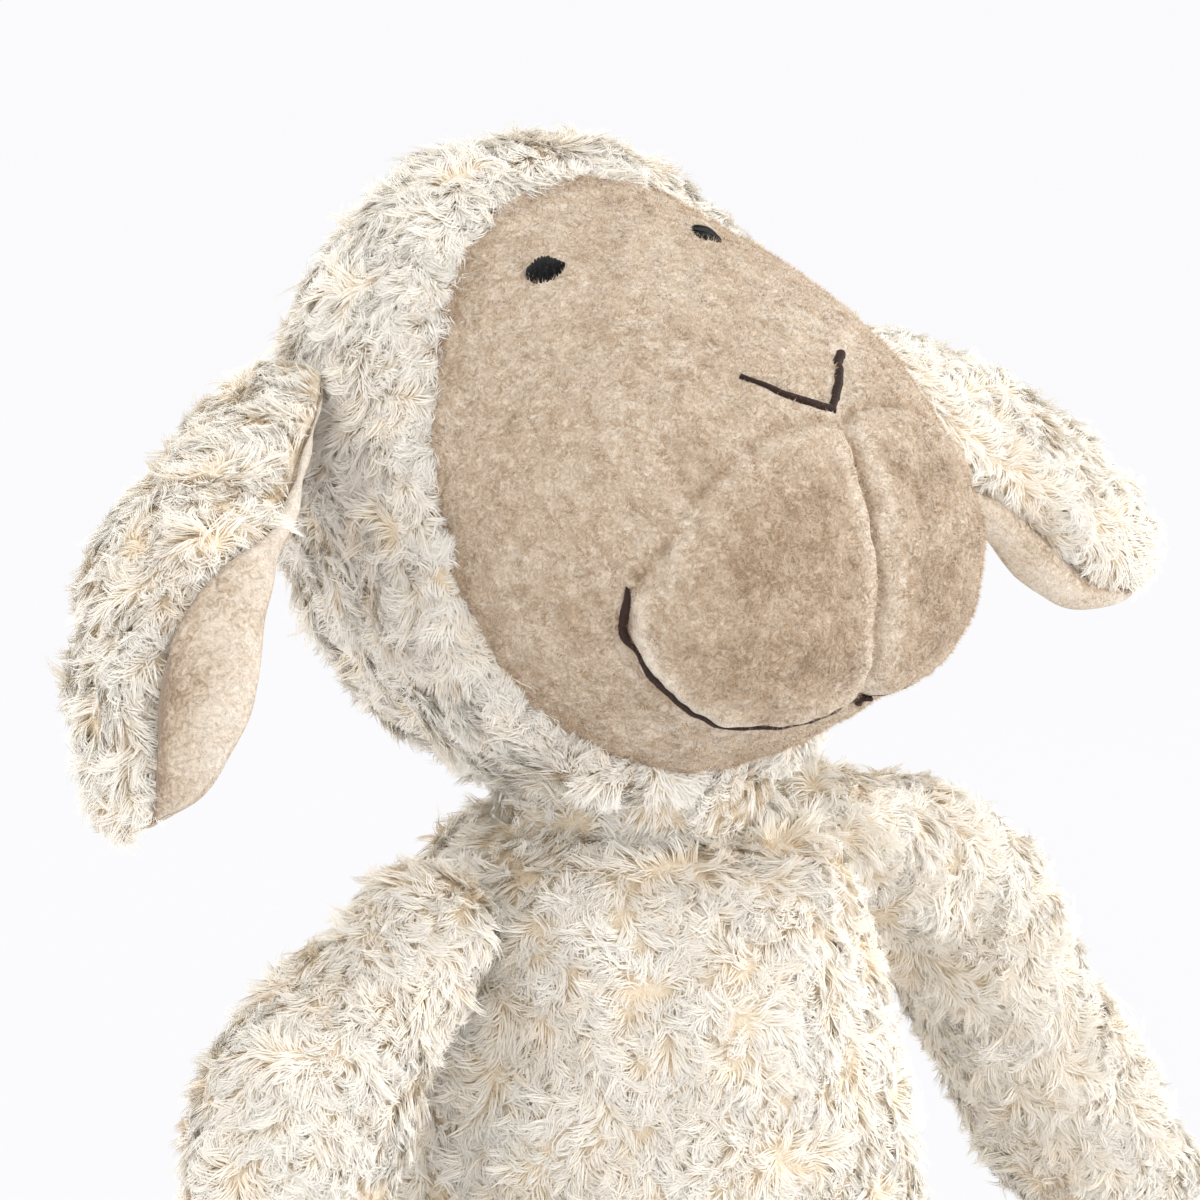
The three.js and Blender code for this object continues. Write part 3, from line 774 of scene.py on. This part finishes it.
def build_face():
    along = 1 - np.linspace(0.004, 0.62, 210)[:, None]
    along, angle = np.broadcast_arrays(along, round_angles(300))
    local, normal, inner = face_at(along, angle)
    ahead = past_fur_line(local)
    keep = (ahead > -4.0).ravel()
    # Rows behind the seam are drawn in to the stuffing, so the skin has a turned hem.
    sink = clamp(-ahead / 4)
    local = local - normal * (2.2 * sink)[..., None]
    rings, sides = along.shape
    verts, (quads, caps) = lofted(seat_head(local))
    verts[rings * sides] = seat_head(face_at(np.array([1.0]), np.array([0.0]))[0])
    # The skin has one pole, at its tip, and no faces behind the hem.
    quads = quads[keep[quads].all(-1)]
    caps = caps[:sides]
    used = np.unique(np.concatenate([quads.ravel(), caps.ravel()]))
    out = verts[used]
    faces = [np.searchsorted(used, f) for f in (quads, caps)]
    faces = turned_out(out, faces, seat_head(face_middle))
    obj = new_object("face_felt_skin", out, faces, felt)
    inner = np.concatenate([inner.ravel(), [0.0]])[used]
    lie = unseat_head(out)
    x, z = lie[:, 0], lie[:, 2]
    front = towards_front(lie)
    shade = 0.06 + 0.05 * Waves(22).at(lie)
    # Painted shadow on the felt along the edge of the fur, which overhangs it.
    shade = shade - 0.28 * bell(past_fur_line(lie) - 1.0, 2.4)
    # Painted shade: the lip pad is darker towards its middle.
    shade = shade - 0.30 * clamp((inner - 2) / 9) * front
    # Painted highlight along the rim of the lip pad, stronger towards the chin.
    rim_highlight = 0.3 + 0.7 * towards_chin(lie)
    shade = shade + 0.4 * np.exp(-((inner - 1.3) ** 2) / 2.2) * front * rim_highlight
    # Painted shade in the crease just outside the lip pad.
    shade = shade - 0.2 * np.exp(-((inner + 0.6) ** 2) / 0.9) * front
    seam = bell(x, 1.3) * clamp((27 - z) / 4) * clamp((z + 30) / 4)
    # Painted highlight on the pad to either side of the middle seam, and painted shade in the seam's groove.
    shade = shade + 0.3 * bell(np.abs(x) - 3.4, 1.8) * clamp((inner - 1) / 3) * front
    shade = shade - 0.45 * seam * front
    set_shade(obj, shade)
    thick = obj.modifiers.new("hem", "SOLIDIFY")
    thick.thickness = 0.0012
    thick.offset = -1
    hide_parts("face_felt")
    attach(obj, "head")
    grown = clamp((past_fur_line(lie) + 1) / 2) * (1 - 0.9 * clamp(seam * 1.4) * front)
    grown = grown * clear_of_stitches(lie)
    normals = normals_of(out, faces)
    nap("face_pile", out, faces, grown * facing(normals), 110000, 1.3, "head")


def felt_table():
    """Many of the felt's points and normals in the head's frame, with a tree that finds them."""
    along, angle = np.broadcast_arrays(1 - np.linspace(0.0, 0.62, 420)[:, None], round_angles(720))
    points, normals = (v.reshape(-1, 3) for v in face_at(along, angle)[:2])
    tree = KDTree(len(points))
    for i, spot in enumerate(points.tolist()):
        tree.insert(spot, i)
    tree.balance()
    return points, normals, tree


felt_points, felt_normals, felt_tree = felt_table()


def blended(i, w):
    """The felt's point and normal there, from the numbers of some points and their weights."""
    w = (w / w.sum())[:, None]
    return (felt_points[i] * w).sum(0), unit((felt_normals[i] * w).sum(0))


def nearest_felt(distance):
    i = np.argpartition(distance, 8)[:8]
    return blended(i, 1 / (distance[i] + 0.02))


def on_face(x, z):
    """The felt's point at a place seen from the front, raised a little."""
    p = felt_points
    spot, normal = nearest_felt((p[:, 0] - x) ** 2 + (p[:, 2] - z) ** 2 + np.where(p[:, 1] > 6, 1e6, 0))
    return spot + 0.35 * normal


def on_brow(x, forward):
    """The felt's point and normal at a place seen from above."""
    p = felt_points
    return nearest_felt((p[:, 0] - x) ** 2 + (p[:, 1] + forward) ** 2 + np.where(p[:, 2] < 10, 1e6, 0))


def floss(name, runs, material, node, radius, rings=7, sides=7):
    """Many short threads, each a rounded tube from one hole to another, arching over the cloth."""
    skins = []
    for a, b, up, arch, wide in runs:
        t = np.linspace(0, 1, rings)[:, None]
        line = a + (b - a) * t + up * (arch * np.sin(np.pi * t) - 0.35 * (1 - np.sin(np.pi * t)))
        ahead = unit(np.gradient(line, axis=0))
        across = unit(np.cross(ahead, up))
        lift = np.cross(across, ahead)
        size = radius * wide * (0.55 + 0.45 * np.sin(np.pi * t) ** 0.5)
        w = round_angles(sides)[..., None]
        rows = line[:, None] + size[:, None] * (np.cos(w) * across[:, None] + 0.8 * np.sin(w) * lift[:, None])
        skins.append(lofted(rows))
    verts = np.concatenate([verts for verts, _ in skins])
    step = len(verts) // len(skins)
    faces = [np.concatenate([faces[k] + i * step for i, (_, faces) in enumerate(skins)]) for k in (0, 1)]
    obj = new_object(name, seat_head(verts), faces, material)
    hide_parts(node)
    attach(obj, "head")


def on_felt(spot, lift):
    """The felt's nearest point to a spot, raised by lift, and its normal."""
    found = felt_tree.find_n(spot, 10)
    point, normal = blended([f[1] for f in found], 1 / (np.array([f[2] for f in found]) ** 2 + 0.05))
    return point + lift * normal, normal


def evened(points, times):
    """The line with its bends evened out, its ends kept."""
    points = points.copy()
    for _ in range(times):
        points[1:-1] = (points[:-2] + 2 * points[1:-1] + points[2:]) / 4
    return points


def stitch_row(points, width, taper, lift):
    """Runs of slanted stitches side by side along a line over the felt."""
    spacing = 0.42
    slant = 0.75
    rough = np.array([on_face(p[0], p[1]) for p in Spine(points).even(60)])
    path = Spine(evened(rough, 8))
    line = path.even(max(3, int(path.length / spacing)))
    found = [on_felt(spot, lift) for spot in line]
    line, ups = (evened(np.array(values), 6) for values in zip(*found))
    ups = unit(ups)
    share = np.linspace(0, 1, len(line))
    wide = width * (np.array([taper(s) for s in share]) if taper else 1.0)
    ahead = unit(np.gradient(line, axis=0))
    way = unit(unit(np.cross(ups, ahead)) + slant * ahead) * (wide / 2 * np.ones(len(line)))[:, None]
    edges = (line - way, line + way)
    a, b = (evened(np.array([on_felt(spot, lift)[0] for spot in edge]), 3) for edge in edges)
    extra = (b - a) * rng.uniform(-0.04, 0.05, (len(line), 1))
    return [(p, q, up, 0.45, rng.uniform(0.9, 1.12)) for p, q, up in zip(a - extra, b + extra, ups)]


# The nose is a shallow V, and the smile runs under the lip with a small notch in the middle.
# Each line has its points seen from the front, its width, its taper and its height over the felt.
nose_lines = [
    ([[-14.5, 35.5, 0], [-7.5, 31.2, 0], [0, 28.2, 0]], 1.9, lambda s: 0.3 + 0.8 * s, 0.3),
    ([[0, 28.2, 0], [4.5, 31, 0], [12.8, 35.8, 0]], 2.1, lambda s: 0.85 + 0.2 * s, 0.3),
]
smile_line = [
    [-46.2, 0.8, 0], [-47.2, -4, 0], [-46.9, -8.8, 0], [-44.5, -15.6, 0], [-38.6, -22.8, 0],
    [-31.3, -27.4, 0], [-22.2, -29.9, 0], [-12, -30.2, 0], [-4, -29.2, 0], [0, -27.4, 0],
]
mirrored_line = [[-x, z, 0] for x, z, _ in smile_line]
smile_lines = [
    (smile_line, 1.8, lambda s: 0.5 + 0.6 * clamp(s / 0.06) - 0.6 * clamp((s - 0.4) / 0.25), 0.3),
    (mirrored_line, 1.8, lambda s: 1.1 - 0.6 * clamp((s - 0.4) / 0.25), 0.3),
    ([[-8.5, -30.4, 0], [-4, -29.2, 0], [0.2, -27, 0]], 1.8, lambda s: 0.5 + 0.4 * s, 1.2),
    ([[-0.2, -27, 0], [3, -28.2, 0], [6, -29.6, 0]], 2.1, None, 1.2),
]
# Each eye: its name, its side, where it stands seen from above, its width and its height.
eye_marks = (("right", -1, -25.6, 0.4, 7.4, 6.8), ("left", 1, 14.2, 5.2, 7.4, 6.6))


def clear_of_stitches(points):
    """0 where a stitch lies on the felt, and 1 elsewhere, for points in the head's frame."""
    free = np.ones(len(points))
    for line, width, _, _ in nose_lines + smile_lines:
        for p in Spine(line).even(60):
            near = np.hypot(points[:, 0] - p[0], points[:, 2] - p[1])
            free = np.minimum(free, np.where(points[:, 1] < 6, clamp((near - width * 0.42) / 0.5), 1))
    for mark in eye_marks:
        near = np.hypot(points[:, 0] - mark[2], points[:, 1] + mark[3])
        free = np.minimum(free, np.where(points[:, 2] > 20, clamp((near - 2.9) / 0.6), 1))
    return free


def under_lip(points, gap):
    """The line moved to lie that far outside the lip."""
    line = Spine(points).even(40)
    e = 0.05
    for _ in range(4):
        x, z = line[:, 0], line[:, 1]
        d = inside_pad(x, z)
        slope = np.stack([(inside_pad(x + e, z) - d) / e, (inside_pad(x, z + e) - d) / e], -1)
        line[:, :2] += unit(slope) * (-gap - d)[:, None]
    return evened(line, 6)


def build_stitches():
    for name, lines, radius in (("nose", nose_lines, 0.37), ("mouth", smile_lines, 0.35)):
        runs = []
        for line, width, taper, lift in lines:
            # The two long lines of the smile follow the lip.
            line = under_lip(line, 0.6) if len(line) > 6 else line
            runs += stitch_row(line, width, taper, lift)
        floss(f"{name}_stitches", runs, brown_thread, f"{name}_stitching", radius)
    for name, side, x, forward, wide, tall in eye_marks:
        inner_way = unit(np.array([-side * 0.8, -0.6]))
        cross_way = np.array([-inner_way[1], inner_way[0]])
        centre = np.array([x, -forward])
        runs = []
        rows = 22
        for i in range(rows):
            s = (i + 0.5) / rows * 2 - 1
            half = tall / 2 * max(1 - s * s, 0) ** (0.36 if s < 0 else 0.62) * (1 - 0.2 * s)
            mid = centre + inner_way * (s * wide / 2)
            lean = inner_way * (0.12 + 0.16 * rng.normal())
            ends = [mid + sign * (cross_way * half * rng.uniform(0.9, 1.05) + lean) for sign in (-1, 1)]
            (p, n), (q, m) = (on_brow(e[0], -e[1]) for e in ends)
            arch = 0.3 + 0.25 * (1 - s * s)
            runs.append((p + 0.15 * n, q + 0.15 * m, unit(n + m), arch, rng.uniform(0.85, 1.15)))
        floss(f"{name}_eye_stitches", runs, black_thread, f"{name}_eye", 0.3, 9, 6)


# Limbs
def limb_rows(spine, form, grow_by, rings, sides, first=0.0):
    """Rows of a tapering limb with a round end. It has a round root where it starts at 0."""
    shares, radius, root_radius = form
    angle = round_angles(sides)[..., None]

    def ring_ways(along):
        a, f = axes_of(along, 0.0)
        return np.cos(angle) * a[:, None] + np.sin(angle) * f[:, None]

    rows = []
    if first <= 0:
        start = spine.at(np.array([0.0]))[0]
        way = spine.along(np.array([0.0]))
        size = root_radius + grow_by
        for q in np.linspace(-0.47, 0, 8, endpoint=False):
            rows.append(start + way * size * np.sin(q * np.pi) + size * np.cos(q * np.pi) * ring_ways(way)[0])
    travel = first + (1 - first) * np.sin(np.pi / 2 * np.linspace(0, 1, rings))
    travel = np.clip(travel, 0, 0.9995)
    size = smooth([root_radius / radius, *shares], travel) * radius + grow_by
    inward = np.maximum(0, 1 - ((1 - travel) * spine.length) / (radius + grow_by))
    rounding = np.sqrt(np.maximum(0, 1 - inward**2))
    body = spine.at(travel)[:, None] + (size * rounding)[:, None, None] * ring_ways(spine.along(travel))
    return np.concatenate([np.array(rows).reshape(-1, sides, 3), body])


def comb_along(verts, spine, amount):
    """Fur lies along a limb, towards its end, and hangs a little."""
    share = np.linspace(0, 1, 60)
    near = ((verts[:, None] - spine.at(share)[None]) ** 2).sum(-1).argmin(1)
    return spine.along(share)[near] * amount + np.array([0, 0, -0.35]), share[near] * spine.length


def build_limb(name, hoof, spine, form, hoof_length, count, floor):
    """A furry limb, its fur in three pieces of that count, and the felt hoof at its end."""
    verts, faces = closed(limb_rows(spine, form, -2.0, 60, 64))
    if floor:
        keep_above(verts, 0.8)
    cuff = spine.length - hoof_length
    _, gone = comb_along(verts, spine, 1.0)
    # The cloth goes on inside the hoof.
    inset = 3.4 * clamp((gone - cuff + 2) / 4)
    verts = verts - normals_of(verts, faces) * inset[:, None]
    nodes = [f"{name}_fur", f"{name}_stuffing"]
    lowest = 0.4 if floor else -1
    verts, faces, normals = padded_base(f"{name}_cloth", (verts, faces), name, nodes, 0.8, lowest)
    comb, gone = comb_along(verts, spine, 1.0)
    length = 6.3 * (1 - 0.3 * clamp((gone - cuff + 14) / 14))
    density = facing(normals) * (gone < cuff - 1)
    if floor:
        length = length * np.clip(0.45 + verts[:, 2] / 22, 0.45, 1)
        density = density * np.clip((verts[:, 2] - 1.0) / 5, 0.12, 1)
    grow_all(numbered(f"{name}_fur", 3), count, verts, faces, comb, length, density, name)
    build_hoof(hoof, spine, form, name, 1 - hoof_length / spine.length, floor)


hoof_lumps = Waves(12)


def build_hoof(node, spine, form, body, cut, floor):
    """A felt mitt with a turned edge at the seam and a shallow cleft down its front."""
    edge = cut + 0.0025
    rows = limb_rows(spine, form, 0.0, 64, 96, edge)
    along = spine.along(np.array([cut]))[0]
    start = spine.at(np.array([edge]))[0]
    lip = []
    for k in range(7):
        q = k / 7
        shrink = 1 - 0.16 * (1 - np.sin(q * np.pi / 2))
        lip.append(start + (rows[0] - start) * shrink + along * (0.6 * (q - 1)))
    verts, faces = closed(np.concatenate([np.array(lip), rows[1:]]))
    normals = normals_of(verts, faces)
    centre = spine.at(np.array([0.93]))[0]
    gone = (verts - start) @ along
    front = np.array([0.0, 0.0, 1.0] if floor else [0.0, -1.0, 0.0])
    across = unit(np.cross(along, front))
    side = (verts - centre) @ across
    facing_front = np.clip((unit(verts - centre) @ unit(np.cross(across, along))) * 1.6, -1, 1)
    ahead = clamp((gone - 6) / 10)
    cleft = 1.8 * bell(side, 1.6) * ahead * np.clip(np.abs(facing_front), 0.25, 1)
    verts = verts + normals * (0.3 * hoof_lumps.at(verts) - cleft - 0.2)[:, None]
    if floor:
        keep_above(verts, 0.25)
    obj = new_object(f"{node}_felt", verts, faces, felt)
    # Random tone, darkened along the cleft as painted shade.
    set_shade(obj, 0.06 + 0.1 * Waves(20).at(verts) - 0.3 * bell(side, 1.8) * ahead)
    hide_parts(node)
    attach(obj, body)


# The thickness along each limb, as shares of its radius, then the radius and that of its root.
arm_form = ([0.84, 0.97, 1, 0.97, 0.95, 0.95, 0.92, 0.84], 21.0, 14.5)
leg_form = ([0.84, 0.97, 1, 0.96, 0.94, 0.97, 0.95, 0.86], 25.0, 17.0)


def build_arms():
    for name, side, lift in (("right", -1, 0.0), ("left", 1, 11.0)):
        line = np.array([[58, 4, 153], [92, 2, 121], [106, -6, 76], [122, -34, 12]], float)
        line = line * [side, 1, 1] + [0, -3, 0]
        spine = Spine(turned(line - line[0], np.radians(-lift) * side) + line[0])
        build_limb(f"{name}_arm", f"{name}_front_hoof", spine, arm_form, 24.0, 29000, floor=False)


def build_legs():
    splay = np.radians(14)
    for name, side in (("right", -1), ("left", 1)):
        start = np.array([33.0 * side, -59.0, 24.5])
        end = start + 146 * np.array([side * np.sin(splay), -np.cos(splay), 0])
        spine = Spine([start, end])
        build_limb(f"{name}_leg", f"{name}_hind_hoof", spine, leg_form, 30.0, 21000, floor=True)


def build_tail():
    start = np.array([0, 68.6, 52.0])
    droop = np.radians(40)
    end = start + 36 * np.array([0, np.cos(droop), -np.sin(droop)])
    spine = Spine([start, end])
    skin = closed(limb_rows(spine, ([0.9, 1, 1, 0.94, 0.84], 13.0, 9.0), -2.0, 30, 40))
    verts, faces, _ = padded_base("tail_cloth", skin, "tail", ["tail"], 0.4)
    comb, _ = comb_along(verts, spine, 1.0)
    grow_all(["tail_fur"], 15000, verts, faces, comb, 6.2, 1.0, "tail")


# The stuffed knob in the neck wears the end of the torso's fleece as a collar.
def build_neck():
    along = np.linspace(-0.46, 0.46, 30)[:, None] * np.pi
    angle = round_angles(48)
    radius = 26.6
    ring = radius * np.cos(along)
    up = radius * np.sin(along)
    rows = spots(ring * np.cos(angle), ring * np.sin(angle), up)
    verts, faces, _ = padded_base("neck_cloth", closed(rows + neck_centre), "neck", ["neck_knob"], 0.2)
    band = clamp(1 - np.abs(verts[:, 2] - 170) / 14)
    grow_all(["neck_fur"], 15000, verts, faces, down, 6.6, band, "neck")


# Ears
curl_turn = np.radians(32) / 25


def ear_spine(side, reach, arch, proud):
    start = head_local(np.array(0.36), np.array(np.radians(18)), 5 + proud).reshape(3)
    start = start * [side, 1, 1]
    tip = start + np.array(reach) * [side, -1, 1]
    middle = start + 0.6 * (tip - start)
    way = unit(tip - start)
    outward = np.array([side, 0.0, 1.0])
    outward = unit(outward - way * (outward @ way))
    return Spine([start, middle + outward * arch, tip])


def ear_points(spine, side, roll, travel, across, flat):
    """Points of an ear from the share of its length and the place in its curled section."""
    w = clamp(travel)
    a, f = axes_of(spine.along(travel), np.radians(8 + (roll - 8) * w * w * (3 - 2 * w)))
    k = side * curl_turn
    q = across * k
    x = np.sin(q) / k - flat * np.sin(q)
    y = (1 - np.cos(q)) / k + flat * np.cos(q)
    return spine.at(travel) + x[..., None] * a + y[..., None] * f


def ear_sizes(spine, travel):
    swell = np.sin(np.pi / 2 * np.minimum(1, travel / 0.7))
    across = (24 + 26 * swell) / 2
    flat = (9 + 9 * swell) / 2
    inward = np.maximum(0, 1 - (1 - travel) * spine.length / 25)
    return across, flat, np.sqrt(np.maximum(0, 1 - inward**2))


def build_ear(name, side, reach, roll, arch, proud, bare):
    """The outer half is furry cloth and wraps the seam; the inner half is the felt lining."""
    spine = ear_spine(side, reach, arch, proud)
    travel = np.sin(np.pi / 2 * np.linspace(0, 1, 60))
    travel = np.clip(travel, 0, 0.9993)[:, None]
    angle = round_angles(72)
    sideways, outwards = np.cos(angle), np.sin(angle)
    across, flat, rounding = ear_sizes(spine, travel)
    # Towards the tip the lining rolls over the front edge, so that the fur ends short of it.
    late = clamp((travel - 0.42) / 0.4)
    edge_at = 1 - bare * late * late * (3 - 2 * late) - 0.09 * clamp((travel - 0.06) / 0.12) * (1 - late)
    cut_back = edge_at < 0.999

    def skin(wide, deep):
        gone = np.broadcast_to(travel, wide.shape)
        return closed(seat_head(ear_points(spine, side, roll, gone, wide, deep)))

    def by_point(values, first, last):
        """The values at the points of a skin, ending with those of its two poles."""
        return np.concatenate([np.broadcast_to(values, (60, 72)).ravel(), [first, last]])

    bald = by_point(sideways - edge_at, 0.0, 1.0)
    wide = (across - 1.1) * rounding * np.minimum(sideways, edge_at)
    fall = clamp((edge_at - sideways) / 0.22)
    fall = np.where(cut_back, np.sqrt(fall * (2 - fall)), 1.0)
    hidden = outwards * -side
    deep = np.where(hidden > 0, (flat - 1.5) * rounding * outwards * fall, side * 0.6 + 0 * rounding)
    base = padded_base(f"{name}_cloth", skin(wide, deep), name, [f"{name}_fur"], 0.4)
    verts, faces, normals = base
    comb, _ = comb_along(verts, Spine(seat_head(spine.dense[::12])), 0.9)
    cover = by_point(hidden, 0.0, 0.0)
    density = facing(normals) * np.where((cover > -0.12) & (bald < -0.03), 1.0, 0.0)
    density[-2:] = 0
    length = 6.0 - 2.0 * bell(cover, 0.22)
    grow_all(numbered(f"{name}_fur", 2), 24000, verts, faces, comb, length, density, name)

    shown = outwards * side
    wide = (across - 0.4) * rounding * sideways
    pinch = 1 - 0.45 * bell(sideways, 0.3) * clamp(1.2 - travel * 0.9)
    rolled = clamp((sideways - edge_at) / 0.2) * cut_back
    rolled = np.sqrt(rolled * (2 - rolled))
    over = side * 0.4 + (flat - 0.4) * rounding * outwards * rolled
    verts, faces = skin(wide, np.where(shown > 0, (flat + 0.1) * rounding * outwards * pinch, over))
    normals = normals_of(verts, faces)
    verts = verts + normals * (0.3 * hoof_lumps.at(verts))[:, None]
    obj = new_object(f"{name}_lining_felt", verts, faces, felt)
    gone = by_point(travel, 0.0, 1.0)
    start = by_point(1 - edge_at, 1.0, 1.0)
    over = clamp(bald / np.maximum(start, 0.02))
    on_fold = np.where((by_point(shown, 0.0, 0.0) < 0) & (bald > 0), 1.0, 0.0)
    shade = -0.04 + 0.1 * Waves(20).at(verts)
    # Painted shade on the lining, darker towards the ear's root.
    shade = shade - 0.2 * (1 - clamp(gone * 1.6)) * (bald < 0)
    # On the narrow turned band the felt is lighter: partly the band's own cream tone, partly painted light
    # against the shade it lies in.
    shade = shade + 0.4 * on_fold * clamp((0.2 - start) / 0.1)
    # Painted shade in the crease of the fold, lightening towards the ear's edge.
    shade = shade + on_fold * (0.25 * over - 0.5 * bell(over, 0.35) * clamp((start - 0.15) / 0.1))
    set_shade(obj, shade)
    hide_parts(f"{name}_lining")
    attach(obj, name)


def build_ears():
    build_ear("right_ear", -1, reach=(75, 48.5, -62), roll=6.0, arch=14.0, proud=7.0, bare=0.74)
    build_ear("left_ear", 1, reach=(80, 54, -72.4), roll=75.0, arch=9.0, proud=8.1, bare=0.4)


build_torso()
build_neck()
build_head()
build_face()
build_stitches()
build_arms()
build_legs()
build_tail()
build_ears()


# Floor, backdrop and light
def any_of(tree, rays):
    """1 for a ray of any of these kinds, and 0 for the others."""
    path = tree.nodes.new("ShaderNodeLightPath")
    share = path.outputs[rays[0]]
    for ray in rays[1:]:
        share = math_node(tree, "MAXIMUM", share, path.outputs[ray])
    return share


def blend_shaders(tree, share, lit, seen, output):
    blend = tree.nodes.new("ShaderNodeMixShader")
    for source, socket in zip((share, lit, seen), blend.inputs):
        tree.links.new(source, socket)
    tree.links.new(blend.outputs[0], tree.nodes[output].inputs["Surface"])


def white_room():
    """A pale floor and world. What the camera sees of them is apart from the light they give."""
    rays = ("Is Camera Ray", "Is Glossy Ray", "Is Transmission Ray")
    seen_white = rgb(250, 250, 252)
    m = Nodes("floor")
    cloud = m.ramp(m.noise(2.0, 2), [(0.2, 236, 236, 238), (0.8, 242, 242, 244)])
    m.tree.links.new(cloud, m.shader.inputs["Base Color"])
    m.shader.inputs["Roughness"].default_value = 0.9
    glow = m.add("ShaderNodeEmission", Color=seen_white, Strength=1.0)
    share = math_node(m.tree, "MULTIPLY", any_of(m.tree, rays), 0.93)
    blend_shaders(m.tree, share, m.shader.outputs[0], glow.outputs[0], "Material Output")
    steps = np.linspace(-14000.0, 14000.0, 9)
    gx, gy = np.meshgrid(steps, steps, indexing="ij")
    verts = np.stack([gx.ravel(), gy.ravel(), np.full(81, -0.2)], -1)
    k = np.arange(8)
    a = (k[:, None] * 9 + k[None]).ravel()
    floor = new_object("floor", verts, [np.stack([a, a + 9, a + 10, a + 1], -1)], m.material)

    world = bpy.data.worlds.new("room")
    bpy.context.scene.world = world
    world.use_nodes = True
    tree = world.node_tree
    ground = tree.nodes["Background"]
    ground.inputs["Color"].default_value = (1.0, 0.99, 0.975, 1)
    ground.inputs["Strength"].default_value = 1.17
    seen = tree.nodes.new("ShaderNodeBackground")
    seen.inputs["Color"].default_value = seen_white
    seen.inputs["Strength"].default_value = 1.0
    blend_shaders(tree, any_of(tree, rays), ground.outputs[0], seen.outputs[0], "World Output")


def lamp(name, place, watts, color):
    """A round lamp that shines on the sheep."""
    data = bpy.data.lights.new(name, "AREA")
    data.shape = "DISK"
    data.size = 0.9
    data.energy = watts
    data.color = color
    put(name, data, place, Vector((0, 0, 0.2)) - Vector(place))


white_room()
warm = (1.0, 0.99, 0.97)
lamp("front", (-0.35, -1.35, 1.35), 2, warm)
lamp("right", (1.25, -0.95, 0.8), 5.5, warm)
lamp("low", (0.7, -1.3, 0.3), 5.5, warm)
lamp("left", (-1.1, 0.75, 0.9), 2.5, (1.0, 1.0, 0.99))
bpy.context.scene.view_settings.view_transform = "Standard"
